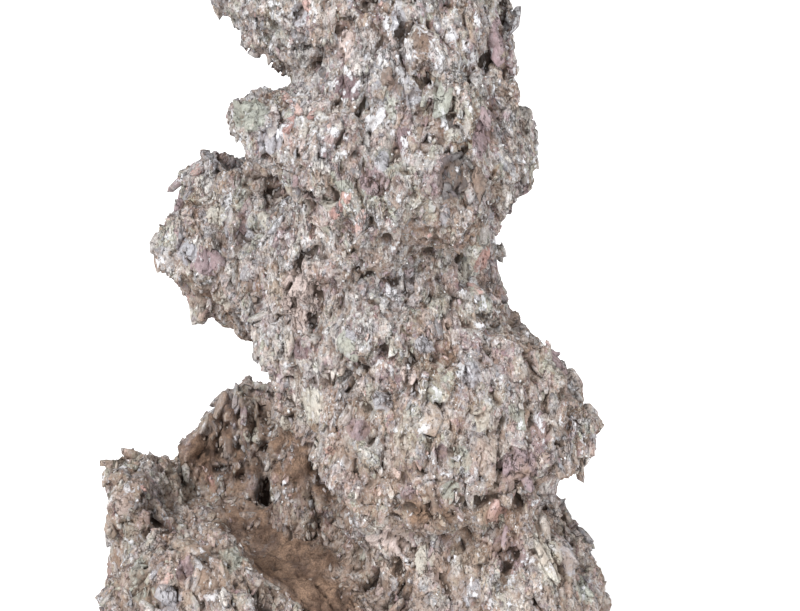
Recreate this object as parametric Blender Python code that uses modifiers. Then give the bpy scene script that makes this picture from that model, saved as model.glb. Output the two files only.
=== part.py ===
"""A tall viewing stone of coarse breccia: stacked, leaning tiers on a spreading foot with a small basin.

Lengths are in millimetres until the last step, which writes the mesh in metres. +Z is up, +X is to the
right of the stone's best side, and that best side looks along -Y. The origin is the middle of the
footprint of the stone's box, on the sawn underside that it stands on.
"""

import math

import bmesh
import bpy
import numpy as np
from mathutils import Matrix, Vector

# Driving dimensions, in millimetres
STONE_HEIGHT = 300.0
ROUGH_VOXEL = 2.6  # grid on which the tiers are fused
SKIN_VOXEL = 2.0  # grid on which the fused stone gets its chunks
MOST_TRIANGLES = 9600
SAW_BLOCK = (400.0, 400.0, 80.0)  # block that takes off what lies below the sawn face
MM = 0.001

# The outline of a tier's level section: a superellipse with ragged corners
SECTION_POINTS = 28
SECTION_SQUARENESS = 2.9  # 2 is an ellipse, and more is boxier
SECTION_RAGGEDNESS = 0.10  # how far a corner strays, as a share of the section's size
RAGGED_TURNS = 1.7  # how quickly the raggedness changes round the section
RAGGED_CLIMB = 0.03  # and with height, for each millimetre
TIER_SEED = 11

# Each tier is a stack of level sections: height, left, right, front, back.
# The lowest sections reach below height 0, where the stone is sawn flat.
TIERS = {
    "crown": [
        (224, -19, 49, -26, 40), (237, -29, 52, -40, 46), (248, -47, 52, -42, 47), (262, -56, 49, -39, 43),
        (274, -50, 46, -28, 34), (284, -26, 38, -20, 29), (294, -8, 30, -10, 24), (301, -2, 22, 0, 18)],
    "crown_peak_left": [(262, -54, -18, -24, 14), (276, -50, -24, -20, 10), (288, -45, -30, -15, 2)],
    "upper": [
        (160, -6, 40, -28, 24), (169, -14, 50, -42, 28), (180, -21, 58, -50, 32), (190, -24, 61, -52, 34),
        (202, -25, 62, -50, 37), (213, -23, 60, -48, 42), (224, -20, 57, -46, 46), (236, -20, 54, -44, 46),
        (247, -20, 52, -42, 44)],
    "neck": [
        (130, -42, 57, -38, 46), (146, -39, 53, -37, 44), (158, -36, 48, -37, 36), (176, -30, 48, -41, 30)],
    "middle": [
        (60, -8, 50, -36, 30), (68, -9, 60, -50, 34), (77, -14, 74, -56, 40), (88, -21, 83, -56, 44),
        (98, -26, 86, -53, 48), (108, -28, 84, -50, 52), (118, -32, 77, -46, 54), (128, -35, 66, -42, 52),
        (137, -43, 57, -38, 48), (148, -37, 53, -34, 40)],
    "lower": [
        (-12, -2, 92, -61, 56), (12, 0, 90, -58, 55), (28, 2, 88, -53, 52), (42, 1, 86, -48, 49),
        (54, -2, 81, -44, 44), (64, -5, 73, -41, 38), (76, -8, 61, -38, 36)],
    "shoulder": [
        (124, -44, -16, 8, 36), (131, -54, -14, 4, 42), (139, -64, -12, -2, 47), (150, -71, -10, -8, 52),
        (162, -73, -8, -9, 54), (173, -69, -8, -7, 50), (181, -62, -10, -2, 44), (188, -57, -22, 4, 36)],
    "shoulder_horn": [(178, -62, -42, 6, 26), (189, -60, -46, 8, 23), (196, -58, -49, 11, 19)],
    "knob": [
        (174, -12, 4, -44, -10), (182, -17, 6, -49, -8), (190, -25, 6, -51, -6), (197, -34, 6, -51, -8),
        (204, -40, 4, -50, -10), (210, -42, 2, -47, -12), (216, -32, 2, -44, -14)],
    "back_knob": [(176, 18, 38, 22, 44), (188, 10, 48, 22, 52), (200, 12, 50, 22, 53), (210, 20, 44, 24, 48)],
    "back_rib": [
        (-12, 6, 62, 30, 63), (20, 10, 57, 30, 62), (50, 14, 52, 30, 60), (80, 18, 47, 30, 56),
        (104, 24, 42, 30, 50)],
    "foot": [
        (-12, -92, 92, -62, 61), (4, -91, 91, -61, 60), (14, -88, 86, -56, 57), (22, -86, 78, -54, 52)],
    "basin_floor": [
        (0, -84, 20, -59, 44), (28, -82, 18, -57, 44), (38, -80, 16, -50, 43), (48, -78, 12, -28, 42),
        (58, -76, 6, 2, 42)],
    "left_rim": [
        (0, -93, -58, -34, 46), (22, -92, -61, -30, 45), (46, -91, -66, -22, 42), (60, -93, -70, -14, 38),
        (70, -95, -72, -4, 33), (77, -93, -77, 2, 26)],
    "back_wall": [
        (0, -80, 10, 22, 62), (30, -80, 0, 27, 62), (56, -80, -4, 30, 60), (72, -77, -6, 32, 57),
        (82, -67, -8, 33, 55), (92, -58, -14, 35, 52), (101, -49, -33, 37, 46)],
    "front_lump": [
        (0, -93, -12, -63, -14), (22, -91, -16, -62, -14), (40, -88, -22, -60, -18), (52, -84, -32, -57, -22),
        (60, -78, -42, -52, -27), (65, -70, -52, -46, -32)],
}

# Tiers that are added once the basin is scooped out, because they hang over it
TIERS_OVER_BASIN = {
    "boss": [
        (50, -25, -13, 4, 20), (58, -31, -8, -2, 28), (70, -33, -4, -4, 34), (84, -30, 0, -4, 36),
        (96, -22, 4, 4, 34)],
}

# The basin: a hollow scooped out with a long ellipsoid that falls towards the front
BASIN_MIDDLE = (-30.0, -12.0, 71.0)
BASIN_HALF_SIZE = (22.0, 52.0, 25.0)  # across, along and up
BASIN_TURN = math.radians(28)
BASIN_FALL = math.radians(15)
CHUNKS_START = 1.25  # no chunk stands nearer the basin than this, in half sizes of the ellipsoid
WORN_START = 1.05  # the basin's own surface is worn smooth out to here
WORN_FADE = 0.3
WORN_LEAST = 0.25

# Angular chunks that stand out of the tiers: how many, how large and how they lie
CHUNK_COUNT = 230
CHUNK_SIZE = (8.0, 16.0)
CHUNK_TALLNESS = 1.9
CHUNK_DEPTH = 0.8  # in and out of the stone, as a share of its width
CHUNK_SUNK = 0.4  # how deep a chunk's middle lies, as a share of its size
CHUNK_TILT = math.radians(20)
CHUNK_SWING = 0.5  # radians that it may turn away from the surface under it
CHUNK_KNOCK = 0.2  # how far its corners are knocked about, as a share of its size
CHUNK_LOWEST = 4.0
CHUNK_STEEPEST = 0.8  # chunks start on walls, where a normal's vertical part is under this
CHUNK_SEED = 58

# Weathering: large blocks and clasts that broke to different depths, cracks between them, and pits
BLOCK_SIZE = 40.0
BLOCK_TALLNESS = 1.1
BLOCK_STEP = 4.4
BLOCK_CRACK = 1.6
BLOCK_CRACK_WIDTH = 0.08  # as a share of the block's size
BLOCK_SEED = 50
CLAST_SIZE = 17.0
CLAST_TALLNESS = 1.6
CLAST_STEP = 4.0
CLAST_CRACK = 2.0
CLAST_CRACK_WIDTH = 0.16
CLAST_SEED = 100
FLAT_TILT = 1.5  # how steeply a broken flat may lie in its cell
PIT_SIZE = 11.0
PIT_DEPTH = 7.0
PIT_RARITY = 0.6  # the noise has to rise above this to open a pit
PIT_SEED = 61

BRECCIA_COLOUR = (0.33, 0.28, 0.26, 1)
BRECCIA_ROUGHNESS = 0.8


def clear_scene():
    """Take every object out of the scene."""
    for obj in list(bpy.data.objects):
        bpy.data.objects.remove(obj, do_unlink=True)


def make_collection(name):
    """Give back a new collection, linked to the scene."""
    collection = bpy.data.collections.new(name)
    bpy.context.scene.collection.children.link(collection)
    return collection


def lattice_value(cells, seed):
    """A repeatable number from 0 to 1 for each whole-number lattice corner, by mixing bits."""
    cells = cells.astype(np.int64)
    mixed = cells[..., 0] * 374761393 + cells[..., 1] * 668265263 + cells[..., 2] * 2147483647
    mixed = mixed + seed * 974634777
    mixed = (mixed ^ (mixed >> 13)) * 1274126177
    mixed = mixed ^ (mixed >> 16)
    return (mixed & 0xFFFFFF) / float(0xFFFFFF)


def smooth_noise(points, size, seed):
    """Lattice values blended smoothly between the corners of cubes of that size, from -1 to 1."""
    scaled = points / size
    corner = np.floor(scaled)
    part = scaled - corner
    ease = part * part * (3 - 2 * part)
    total = np.zeros(len(points))
    for step in np.ndindex(2, 2, 2):
        offset = np.array(step)
        weight = np.prod(np.where(offset == 1, ease, 1 - ease), axis=1)
        total += weight * lattice_value(corner + offset, seed)
    return total * 2 - 1


def broken_flats(points, size, tallness, seed):
    """Height of a surface broken into tilted flats, each round a scattered seed point, and its gap.

    Space is divided among seed points, one in each cell of a lattice that is stretched upwards. A
    seed's flat has its own level and its own tilt, so neighbours meet in steps, as fragments do in
    a breccia. The gap is the distance to the next seed point less the distance to the nearest.
    """
    scaled = points / (size * np.array((1.0, 1.0, tallness)))
    home = np.floor(scaled)
    nearest = np.full(len(points), np.inf)
    second = np.full(len(points), np.inf)
    height = np.zeros(len(points))
    for step in np.ndindex(3, 3, 3):
        cell = home + np.array(step) - 1
        seat = np.stack([lattice_value(cell, seed + axis) for axis in range(3)], axis=1)
        away = scaled - cell - seat
        distance = np.linalg.norm(away, axis=1)
        tilt = np.stack([lattice_value(cell, seed + 3 + axis) - 0.5 for axis in range(3)], axis=1)
        level = lattice_value(cell, seed + 6) - 0.5 + FLAT_TILT * np.sum(tilt * away, axis=1)
        closer = distance < nearest
        second = np.where(closer, nearest, np.minimum(second, distance))
        height = np.where(closer, level, height)
        nearest = np.where(closer, distance, nearest)
    return height, second - nearest


def add_section(stone, section, seed):
    """Add the corners of one level section to the bmesh and give them back in order."""
    height, left, right, front, back = section
    middle = Vector(((left + right) / 2, (front + back) / 2, height))
    half_width = (right - left) / 2
    half_depth = (back - front) / 2
    power = 2 / SECTION_SQUARENESS
    corners = []
    for index in range(SECTION_POINTS):
        angle = 2 * math.pi * index / SECTION_POINTS
        across = math.copysign(abs(math.cos(angle)) ** power, math.cos(angle))
        along = math.copysign(abs(math.sin(angle)) ** power, math.sin(angle))
        spot = np.array([[across * RAGGED_TURNS + seed, along * RAGGED_TURNS, height * RAGGED_CLIMB]])
        ragged = 1 + SECTION_RAGGEDNESS * float(smooth_noise(spot, 1.0, seed)[0])
        offset = Vector((half_width * across, half_depth * along, 0)) * ragged
        corners.append(stone.verts.new(middle + offset))
    return corners


def add_tier(stone, sections, seed):
    """Add one tier: its sections joined by a skin, closed at its top and bottom."""
    rings = [add_section(stone, section, seed) for section in sections]
    for lower, upper in zip(rings, rings[1:]):
        for index in range(SECTION_POINTS):
            after = (index + 1) % SECTION_POINTS
            stone.faces.new((lower[index], lower[after], upper[after], upper[index]))
    stone.faces.new(list(reversed(rings[0])))
    stone.faces.new(rings[-1])


def mesh_of(name, shape):
    """A mesh made of a bmesh, which is freed."""
    mesh = bpy.data.meshes.new(name)
    shape.to_mesh(mesh)
    shape.free()
    return mesh


def mesh_arrays(mesh):
    """Corner positions and corner normals of a mesh, as arrays."""
    points = np.empty(len(mesh.vertices) * 3)
    normals = np.empty(len(mesh.vertices) * 3)
    mesh.vertices.foreach_get("co", points)
    mesh.vertices.foreach_get("normal", normals)
    return points.reshape(-1, 3), normals.reshape(-1, 3)


def worked(name, mesh, kind, settings, collection):
    """A new mesh: the old one after one modifier of that kind, with those settings, is applied."""
    helper = bpy.data.objects.new(name, mesh)
    helper.hide_render = True
    collection.objects.link(helper)
    modifier = helper.modifiers.new(name, kind)
    for setting, value in settings.items():
        setattr(modifier, setting, value)
    graph = bpy.context.evaluated_depsgraph_get()
    made = bpy.data.meshes.new_from_object(helper.evaluated_get(graph))
    bpy.data.objects.remove(helper, do_unlink=True)
    return made


def fused(name, mesh, voxel, collection):
    """A new mesh in which every shell of the old one is fused on a grid of that size."""
    return worked(name, mesh, "REMESH", {"mode": "VOXEL", "voxel_size": voxel}, collection)


def cut_away(name, mesh, shape, collection):
    """A new mesh: the old one with a bmesh cut out of it, whose cutter stays as a hidden guide."""
    cutter = bpy.data.objects.new(name + "_cutter", mesh_of(name, shape))
    cutter.hide_render = True
    cutter.display_type = "WIRE"
    collection.objects.link(cutter)
    return worked(name, mesh, "BOOLEAN", {"operation": "DIFFERENCE", "object": cutter}, collection)


def rough_tiers(collection):
    """The tiers fused into one rough body."""
    stone = bmesh.new()
    for number, sections in enumerate(TIERS.values()):
        add_tier(stone, sections, TIER_SEED + number)
    return fused("tiers", mesh_of("tiers", stone), ROUGH_VOXEL, collection)


def basin_matrix():
    """Where the ellipsoid that scoops out the basin lies, as a matrix on a ball of radius 1."""
    turn = Matrix.Rotation(BASIN_TURN, 4, "Z") @ Matrix.Rotation(BASIN_FALL, 4, "X")
    return Matrix.Translation(BASIN_MIDDLE) @ turn @ Matrix.Diagonal((*BASIN_HALF_SIZE, 1))


def basin_distance(points):
    """How far each point lies from the middle of the basin's ellipsoid, where 1 is on its surface."""
    inward = np.array(basin_matrix().inverted())
    return np.linalg.norm(points @ inward[:3, :3].T + inward[:3, 3], axis=1)


def scoop_basin(mesh, collection):
    """The body with its basin cut out."""
    scoop = bmesh.new()
    bmesh.ops.create_icosphere(scoop, subdivisions=4, radius=1.0, matrix=basin_matrix())
    return cut_away("basin", mesh, scoop, collection)


def add_chunk(stone, middle, outward, size, rng):
    """Add one angular chunk: a cube drawn out along its height, tilted, with its corners knocked about."""
    swing = rng.uniform(-CHUNK_SWING, CHUNK_SWING)
    turn = Matrix.Rotation(math.atan2(outward[1], outward[0]) + swing, 4, "Z")
    lean = Matrix.Rotation(rng.uniform(-CHUNK_TILT, CHUNK_TILT), 4, "Y")
    roll = Matrix.Rotation(rng.uniform(-CHUNK_TILT, CHUNK_TILT), 4, "X")
    shape = Matrix.Diagonal((size * CHUNK_DEPTH, size, size * rng.uniform(1.0, CHUNK_TALLNESS), 1))
    place = Matrix.Translation(Vector(middle)) @ turn @ lean @ roll @ shape
    made = bmesh.ops.create_cube(stone, size=1.0, matrix=place)
    for corner in made["verts"]:
        corner.co += Vector(rng.uniform(-CHUNK_KNOCK, CHUNK_KNOCK, 3) * size)


def chunky_body(rough, collection):
    """The rough body with angular chunks standing out of its walls, fused again on a finer grid."""
    points, normals = mesh_arrays(rough)
    rng = np.random.default_rng(CHUNK_SEED)
    on_wall = (points[:, 2] > CHUNK_LOWEST) & (np.abs(normals[:, 2]) < CHUNK_STEEPEST)
    free = np.flatnonzero(on_wall & (basin_distance(points) > CHUNKS_START))
    stone = bmesh.new()
    stone.from_mesh(rough)
    for number, sections in enumerate(TIERS_OVER_BASIN.values()):
        add_tier(stone, sections, TIER_SEED + len(TIERS) + number)
    for index in rng.choice(free, CHUNK_COUNT, replace=False):
        size = rng.uniform(*CHUNK_SIZE)
        middle = points[index] - normals[index] * size * CHUNK_SUNK
        add_chunk(stone, middle, normals[index], size, rng)
    return fused("chunky", mesh_of("chunky", stone), SKIN_VOXEL, collection)


def weather(mesh):
    """Move each point of the fused skin in or out: broken flats, cracks between them, and pits."""
    points, normals = mesh_arrays(mesh)
    block, block_gap = broken_flats(points, BLOCK_SIZE, BLOCK_TALLNESS, BLOCK_SEED)
    clast, clast_gap = broken_flats(points, CLAST_SIZE, CLAST_TALLNESS, CLAST_SEED)
    crack = np.clip(1 - block_gap / BLOCK_CRACK_WIDTH, 0, 1) * BLOCK_CRACK
    crack += np.clip(1 - clast_gap / CLAST_CRACK_WIDTH, 0, 1) * CLAST_CRACK
    pit = np.clip(smooth_noise(points, PIT_SIZE, PIT_SEED) - PIT_RARITY, 0, 1) * PIT_DEPTH
    worn = np.clip((basin_distance(points) - WORN_START) / WORN_FADE, WORN_LEAST, 1)
    out = (block * BLOCK_STEP + clast * CLAST_STEP - crack - pit) * worn
    moved = points + normals * out[:, None]
    mesh.vertices.foreach_set("co", moved.ravel())
    mesh.update()


def saw_flat(mesh, collection):
    """The stone with everything below height 0 sawn off."""
    block = bmesh.new()
    place = Matrix.Translation((0, 0, -SAW_BLOCK[2] / 2)) @ Matrix.Diagonal((*SAW_BLOCK, 1))
    bmesh.ops.create_cube(block, size=1.0, matrix=place)
    return cut_away("sawn", mesh, block, collection)


def thinned(mesh, collection):
    """The mesh with its triangles brought down to the number that the solid may hold."""
    ratio = MOST_TRIANGLES / (2 * len(mesh.polygons))
    return worked("thinned", mesh, "DECIMATE", {"ratio": ratio}, collection)


def keep_largest(mesh):
    """Drop every loose crumb, so that one closed body is left."""
    stone = bmesh.new()
    stone.from_mesh(mesh)
    unseen = set(stone.verts)
    bodies = []
    while unseen:
        front = [unseen.pop()]
        body = set(front)
        while front:
            for edge in front.pop().link_edges:
                for corner in edge.verts:
                    if corner in unseen:
                        unseen.discard(corner)
                        body.add(corner)
                        front.append(corner)
        bodies.append(body)
    largest = max(bodies, key=len)
    bmesh.ops.delete(stone, geom=[v for v in stone.verts if v not in largest], context="VERTS")
    stone.to_mesh(mesh)
    stone.free()


def set_over_origin(mesh):
    """Scale the mesh to the stone's height, in metres, and set it on the origin."""
    points, _ = mesh_arrays(mesh)
    middle = (points.min(axis=0) + points.max(axis=0)) / 2
    points -= np.array([middle[0], middle[1], points[:, 2].min()])
    points *= MM * STONE_HEIGHT / points[:, 2].max()
    mesh.vertices.foreach_set("co", points.ravel())
    mesh.update()


def stone_material():
    """Grey-mauve breccia, dull and rough."""
    material = bpy.data.materials.new("breccia")
    material.use_nodes = True
    shader = material.node_tree.nodes["Principled BSDF"]
    shader.inputs["Base Color"].default_value = BRECCIA_COLOUR
    shader.inputs["Roughness"].default_value = BRECCIA_ROUGHNESS
    shader.inputs["Metallic"].default_value = 0.0
    material.diffuse_color = BRECCIA_COLOUR
    return material


def main():
    """Build the viewing stone."""
    clear_scene()
    stones = make_collection("viewing_stone")
    cutters = make_collection("cutters")
    body = chunky_body(scoop_basin(rough_tiers(cutters), cutters), cutters)
    weather(body)
    keep_largest(body)
    solid = saw_flat(thinned(body, cutters), cutters)
    set_over_origin(solid)
    solid.materials.clear()
    solid.materials.append(stone_material())
    stones.objects.link(bpy.data.objects.new("stone", solid))


main()
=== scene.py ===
"""The viewing stone's looks: its rough breccia skin, the fragments bedded in it, and a plain studio.

Lengths are in metres, +Z is up, and the stone's best side looks along -Y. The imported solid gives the
form. This script wraps it in a fine skin, breaks that skin into flats, pits and cracks, and beds
thousands of angular fragments in it, the large ones first. Pixels of the photograph are counted in a
frame of 800 by 611, and the camera's own ray turns a pixel into a place on the stone.
"""

from __future__ import annotations

import logging
import math
from dataclasses import dataclass, field
from enum import Enum
from typing import Any

import bmesh
import bpy
import numpy as np
from mathutils import Matrix, Vector
from mathutils.bvhtree import BVHTree

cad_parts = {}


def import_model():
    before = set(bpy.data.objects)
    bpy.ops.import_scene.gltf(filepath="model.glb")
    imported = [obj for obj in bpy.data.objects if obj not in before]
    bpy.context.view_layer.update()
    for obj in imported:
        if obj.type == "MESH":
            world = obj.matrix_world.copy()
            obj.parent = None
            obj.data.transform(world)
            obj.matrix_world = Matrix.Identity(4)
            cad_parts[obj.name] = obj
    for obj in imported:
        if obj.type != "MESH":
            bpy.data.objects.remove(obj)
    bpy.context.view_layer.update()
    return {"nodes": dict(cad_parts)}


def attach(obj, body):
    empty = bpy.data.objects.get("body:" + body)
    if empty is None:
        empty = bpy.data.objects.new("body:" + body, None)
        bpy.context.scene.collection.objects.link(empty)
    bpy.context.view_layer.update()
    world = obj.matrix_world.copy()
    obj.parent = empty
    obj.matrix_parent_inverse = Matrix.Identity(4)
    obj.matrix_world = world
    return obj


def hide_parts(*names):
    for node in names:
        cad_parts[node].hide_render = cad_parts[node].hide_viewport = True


LOG = logging.getLogger("viewing_stone")
Array = np.ndarray
Colour = tuple[float, float, float]
HAIR = 1e-6  # metres, under which two places count as one
UNDERSIDE = 1e-4  # metres above the lowest point, up to which an edge belongs to the sawn underside
UPRIGHT = (1.0, 1.0, 0.6)  # scales that stretch a pattern upwards
DUST: Colour = (0.345, 0.25, 0.19)
BODY = "root"
NODE = "stone"


class Rock(Enum):
    """The kinds of rock and mineral among the fragments."""

    ASH = "ash"
    SLATE = "slate"
    MAUVE = "mauve"
    ROSE = "rose"
    CREAM = "cream"
    OLIVE = "olive"
    GRIT = "grit"
    QUARTZ = "quartz"


class Tint(Enum):
    """The colours of the clasts that lie flush in the surface."""

    SALMON = (0.49, 0.295, 0.26)
    PINK = (0.59, 0.485, 0.45)
    MAUVE = (0.31, 0.225, 0.243)
    PLUM = (0.19, 0.125, 0.138)
    LILAC = (0.41, 0.405, 0.44)
    SLATE = (0.105, 0.095, 0.10)
    GREEN = (0.39, 0.405, 0.355)
    CREAM = (0.60, 0.57, 0.505)
    CHALK = (0.76, 0.76, 0.79)
    BROWN = (0.205, 0.145, 0.112)


def lattice_value(cells: Array, seed: int) -> Array:
    """A repeatable number for each whole-number lattice corner, by mixing the bits of its place.

    Args:
        cells: Lattice corners, n by 3.
        seed: Picks one of many such lattices.

    Returns:
        n numbers from 0 to 1.
    """
    cells = cells.astype(np.int64)
    mixed = cells[..., 0] * 374761393 + cells[..., 1] * 668265263 + cells[..., 2] * 2147483647
    mixed = mixed + seed * 974634777
    mixed = (mixed ^ (mixed >> 13)) * 1274126177
    mixed = mixed ^ (mixed >> 16)
    return (mixed & 0xFFFFFF) / float(0xFFFFFF)


def smooth_noise(points: Array, size: float, seed: int) -> Array:
    """Lattice values blended between the corners of cubes: each weight is 3t^2 - 2t^3 along its axis.

    Args:
        points: Places, n by 3.
        size: Side of a cube.
        seed: Picks the lattice.

    Returns:
        n values from -1 to 1.
    """
    scaled = points / size
    corner = np.floor(scaled)
    part = scaled - corner
    ease = part * part * (3 - 2 * part)
    total = np.zeros(len(points))
    for step in np.ndindex(2, 2, 2):
        offset = np.array(step)
        weight = np.prod(np.where(offset == 1, ease, 1 - ease), axis=1)
        total += weight * lattice_value(corner + offset, seed)
    return total * 2 - 1


def cloud(points: Array, size: float, seed: int, octaves: int = 3) -> Array:
    """Sum of smooth noises, each half as large and half as strong as the one before it.

    Args:
        points: Places, n by 3.
        size: Side of the coarsest noise's cubes.
        seed: Picks the lattices.
        octaves: How many noises are added.

    Returns:
        n values, from about -1 to 1.
    """
    total = np.zeros(len(points))
    for octave in range(octaves):
        total += smooth_noise(points, size / 2**octave, seed + octave) / 2**octave
    return total / (2 - 2 ** (1 - octaves))


def broken_flats(points: Array, size: float, tallness: float, droop: float,
                 seed: int) -> tuple[Array, Array]:
    """Height of a surface broken into tilted flats, one round each scattered seed point.

    Space is divided among seed points, one in each cell of a lattice that is stretched upwards. A
    seed's flat has its own level and tilt: height = level + tilt . (point - seed point).

    Args:
        points: Places, n by 3.
        size: Side of a cell.
        tallness: How much taller than wide a cell is.
        droop: How much further than its upper end a flat's lower end stands out.
        seed: Picks the seed points.

    Returns:
        n heights, and n gaps: distance to the next seed point less distance to the nearest one.
    """
    scaled = points / (size * np.array((1.0, 1.0, tallness)))
    home = np.floor(scaled)
    nearest = np.full(len(points), np.inf)
    second = np.full(len(points), np.inf)
    height = np.zeros(len(points))
    for step in np.ndindex(3, 3, 3):
        cell = home + np.array(step) - 1
        seat = np.stack([lattice_value(cell, seed + axis) for axis in range(3)], axis=1)
        away = scaled - cell - seat
        distance = np.linalg.norm(away, axis=1)
        tilt = np.stack([lattice_value(cell, seed + 3 + axis) - 0.5 for axis in range(3)], axis=1)
        tilt[:, 2] -= droop
        level = lattice_value(cell, seed + 6) - 0.5 + 1.5 * np.sum(tilt * away, axis=1)
        closer = distance < nearest
        second = np.where(closer, nearest, np.minimum(second, distance))
        height = np.where(closer, level, height)
        nearest = np.where(closer, distance, nearest)
    return height, second - nearest


def unit(vectors: Array) -> Array:
    """The vectors, each divided by its own length."""
    return vectors / np.maximum(np.linalg.norm(vectors, axis=-1, keepdims=True), 1e-12)


def averaged(values: Array, edges: Array, rounds: int) -> Array:
    """Values on a mesh's points, each blended half and half with its neighbours' mean, several times.

    Args:
        values: n by k values.
        edges: Pairs of point numbers.
        rounds: How often the blend is made.

    Returns:
        The blended values, n by k.
    """
    count = len(values)
    degree = np.maximum(np.bincount(edges.ravel(), minlength=count), 1)
    for _ in range(rounds):
        total = np.stack([
            np.bincount(edges[:, 0], weights=values[edges[:, 1], k], minlength=count)
            + np.bincount(edges[:, 1], weights=values[edges[:, 0], k], minlength=count)
            for k in range(values.shape[1])], axis=1)
        values = 0.5 * values + 0.5 * total / degree[:, None]
    return values


def mesh_from_arrays(name: str, points: Array, faces: Array) -> bpy.types.Mesh:
    """A mesh put together from arrays.

    Args:
        name: The mesh's name.
        points: Corner places, n by 3.
        faces: Corner numbers, m by 3 or m by 4, counter-clockwise as seen from outside.

    Returns:
        The mesh, flat shaded.
    """
    mesh = bpy.data.meshes.new(name)
    mesh.vertices.add(len(points))
    mesh.vertices.foreach_set("co", points.astype(np.float32).ravel())
    mesh.loops.add(faces.size)
    mesh.loops.foreach_set("vertex_index", faces.astype(np.int32).ravel())
    mesh.polygons.add(len(faces))
    mesh.polygons.foreach_set("loop_start", np.arange(0, faces.size, faces.shape[1], dtype=np.int32))
    mesh.update(calc_edges=True)
    return mesh


def add_attribute(mesh: bpy.types.Mesh, name: str, values: Array) -> None:
    """Store one number for each of the mesh's points, for its material to read."""
    attribute = mesh.attributes.new(name, "FLOAT", "POINT")
    attribute.data.foreach_set("value", values.astype(np.float32))


def add_colours(mesh: bpy.types.Mesh, name: str, colours: Array) -> None:
    """Store one colour for each of the mesh's points, for its material to read."""
    attribute = mesh.attributes.new(name, "FLOAT_COLOR", "POINT")
    full = np.ones((len(colours), 4), dtype=np.float32)
    full[:, :3] = colours
    attribute.data.foreach_set("color", full.ravel())


def show(name: str, mesh: bpy.types.Mesh) -> bpy.types.Object:
    """A new object of that mesh, linked to the scene, at the origin."""
    made = bpy.data.objects.new(name, mesh)
    bpy.context.scene.collection.objects.link(made)
    return made


class Wire:
    """A shader socket that Python's operators work on: each adds the Math node for it."""

    def __init__(self, graph: "Graph", socket: bpy.types.NodeSocket) -> None:
        """Wrap a node's output socket."""
        self.graph = graph
        self.socket = socket

    def _math(self, operation: str, first: Any, second: Any) -> "Wire":
        """One Math node on two values."""
        return self.graph.add("ShaderNodeMath", {"operation": operation}, {0: first, 1: second})

    def __add__(self, other: Any) -> "Wire":
        """Self plus other."""
        return self._math("ADD", self, other)

    def __sub__(self, other: Any) -> "Wire":
        """Self minus other."""
        return self._math("SUBTRACT", self, other)

    def __rsub__(self, other: Any) -> "Wire":
        """Other minus self."""
        return self._math("SUBTRACT", other, self)

    def __mul__(self, other: Any) -> "Wire":
        """Self times other."""
        return self._math("MULTIPLY", self, other)

    __radd__ = __add__
    __rmul__ = __mul__

    def beside(self, output: str) -> "Wire":
        """Another output of the same node."""
        return Wire(self.graph, self.socket.node.outputs[output])


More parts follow.
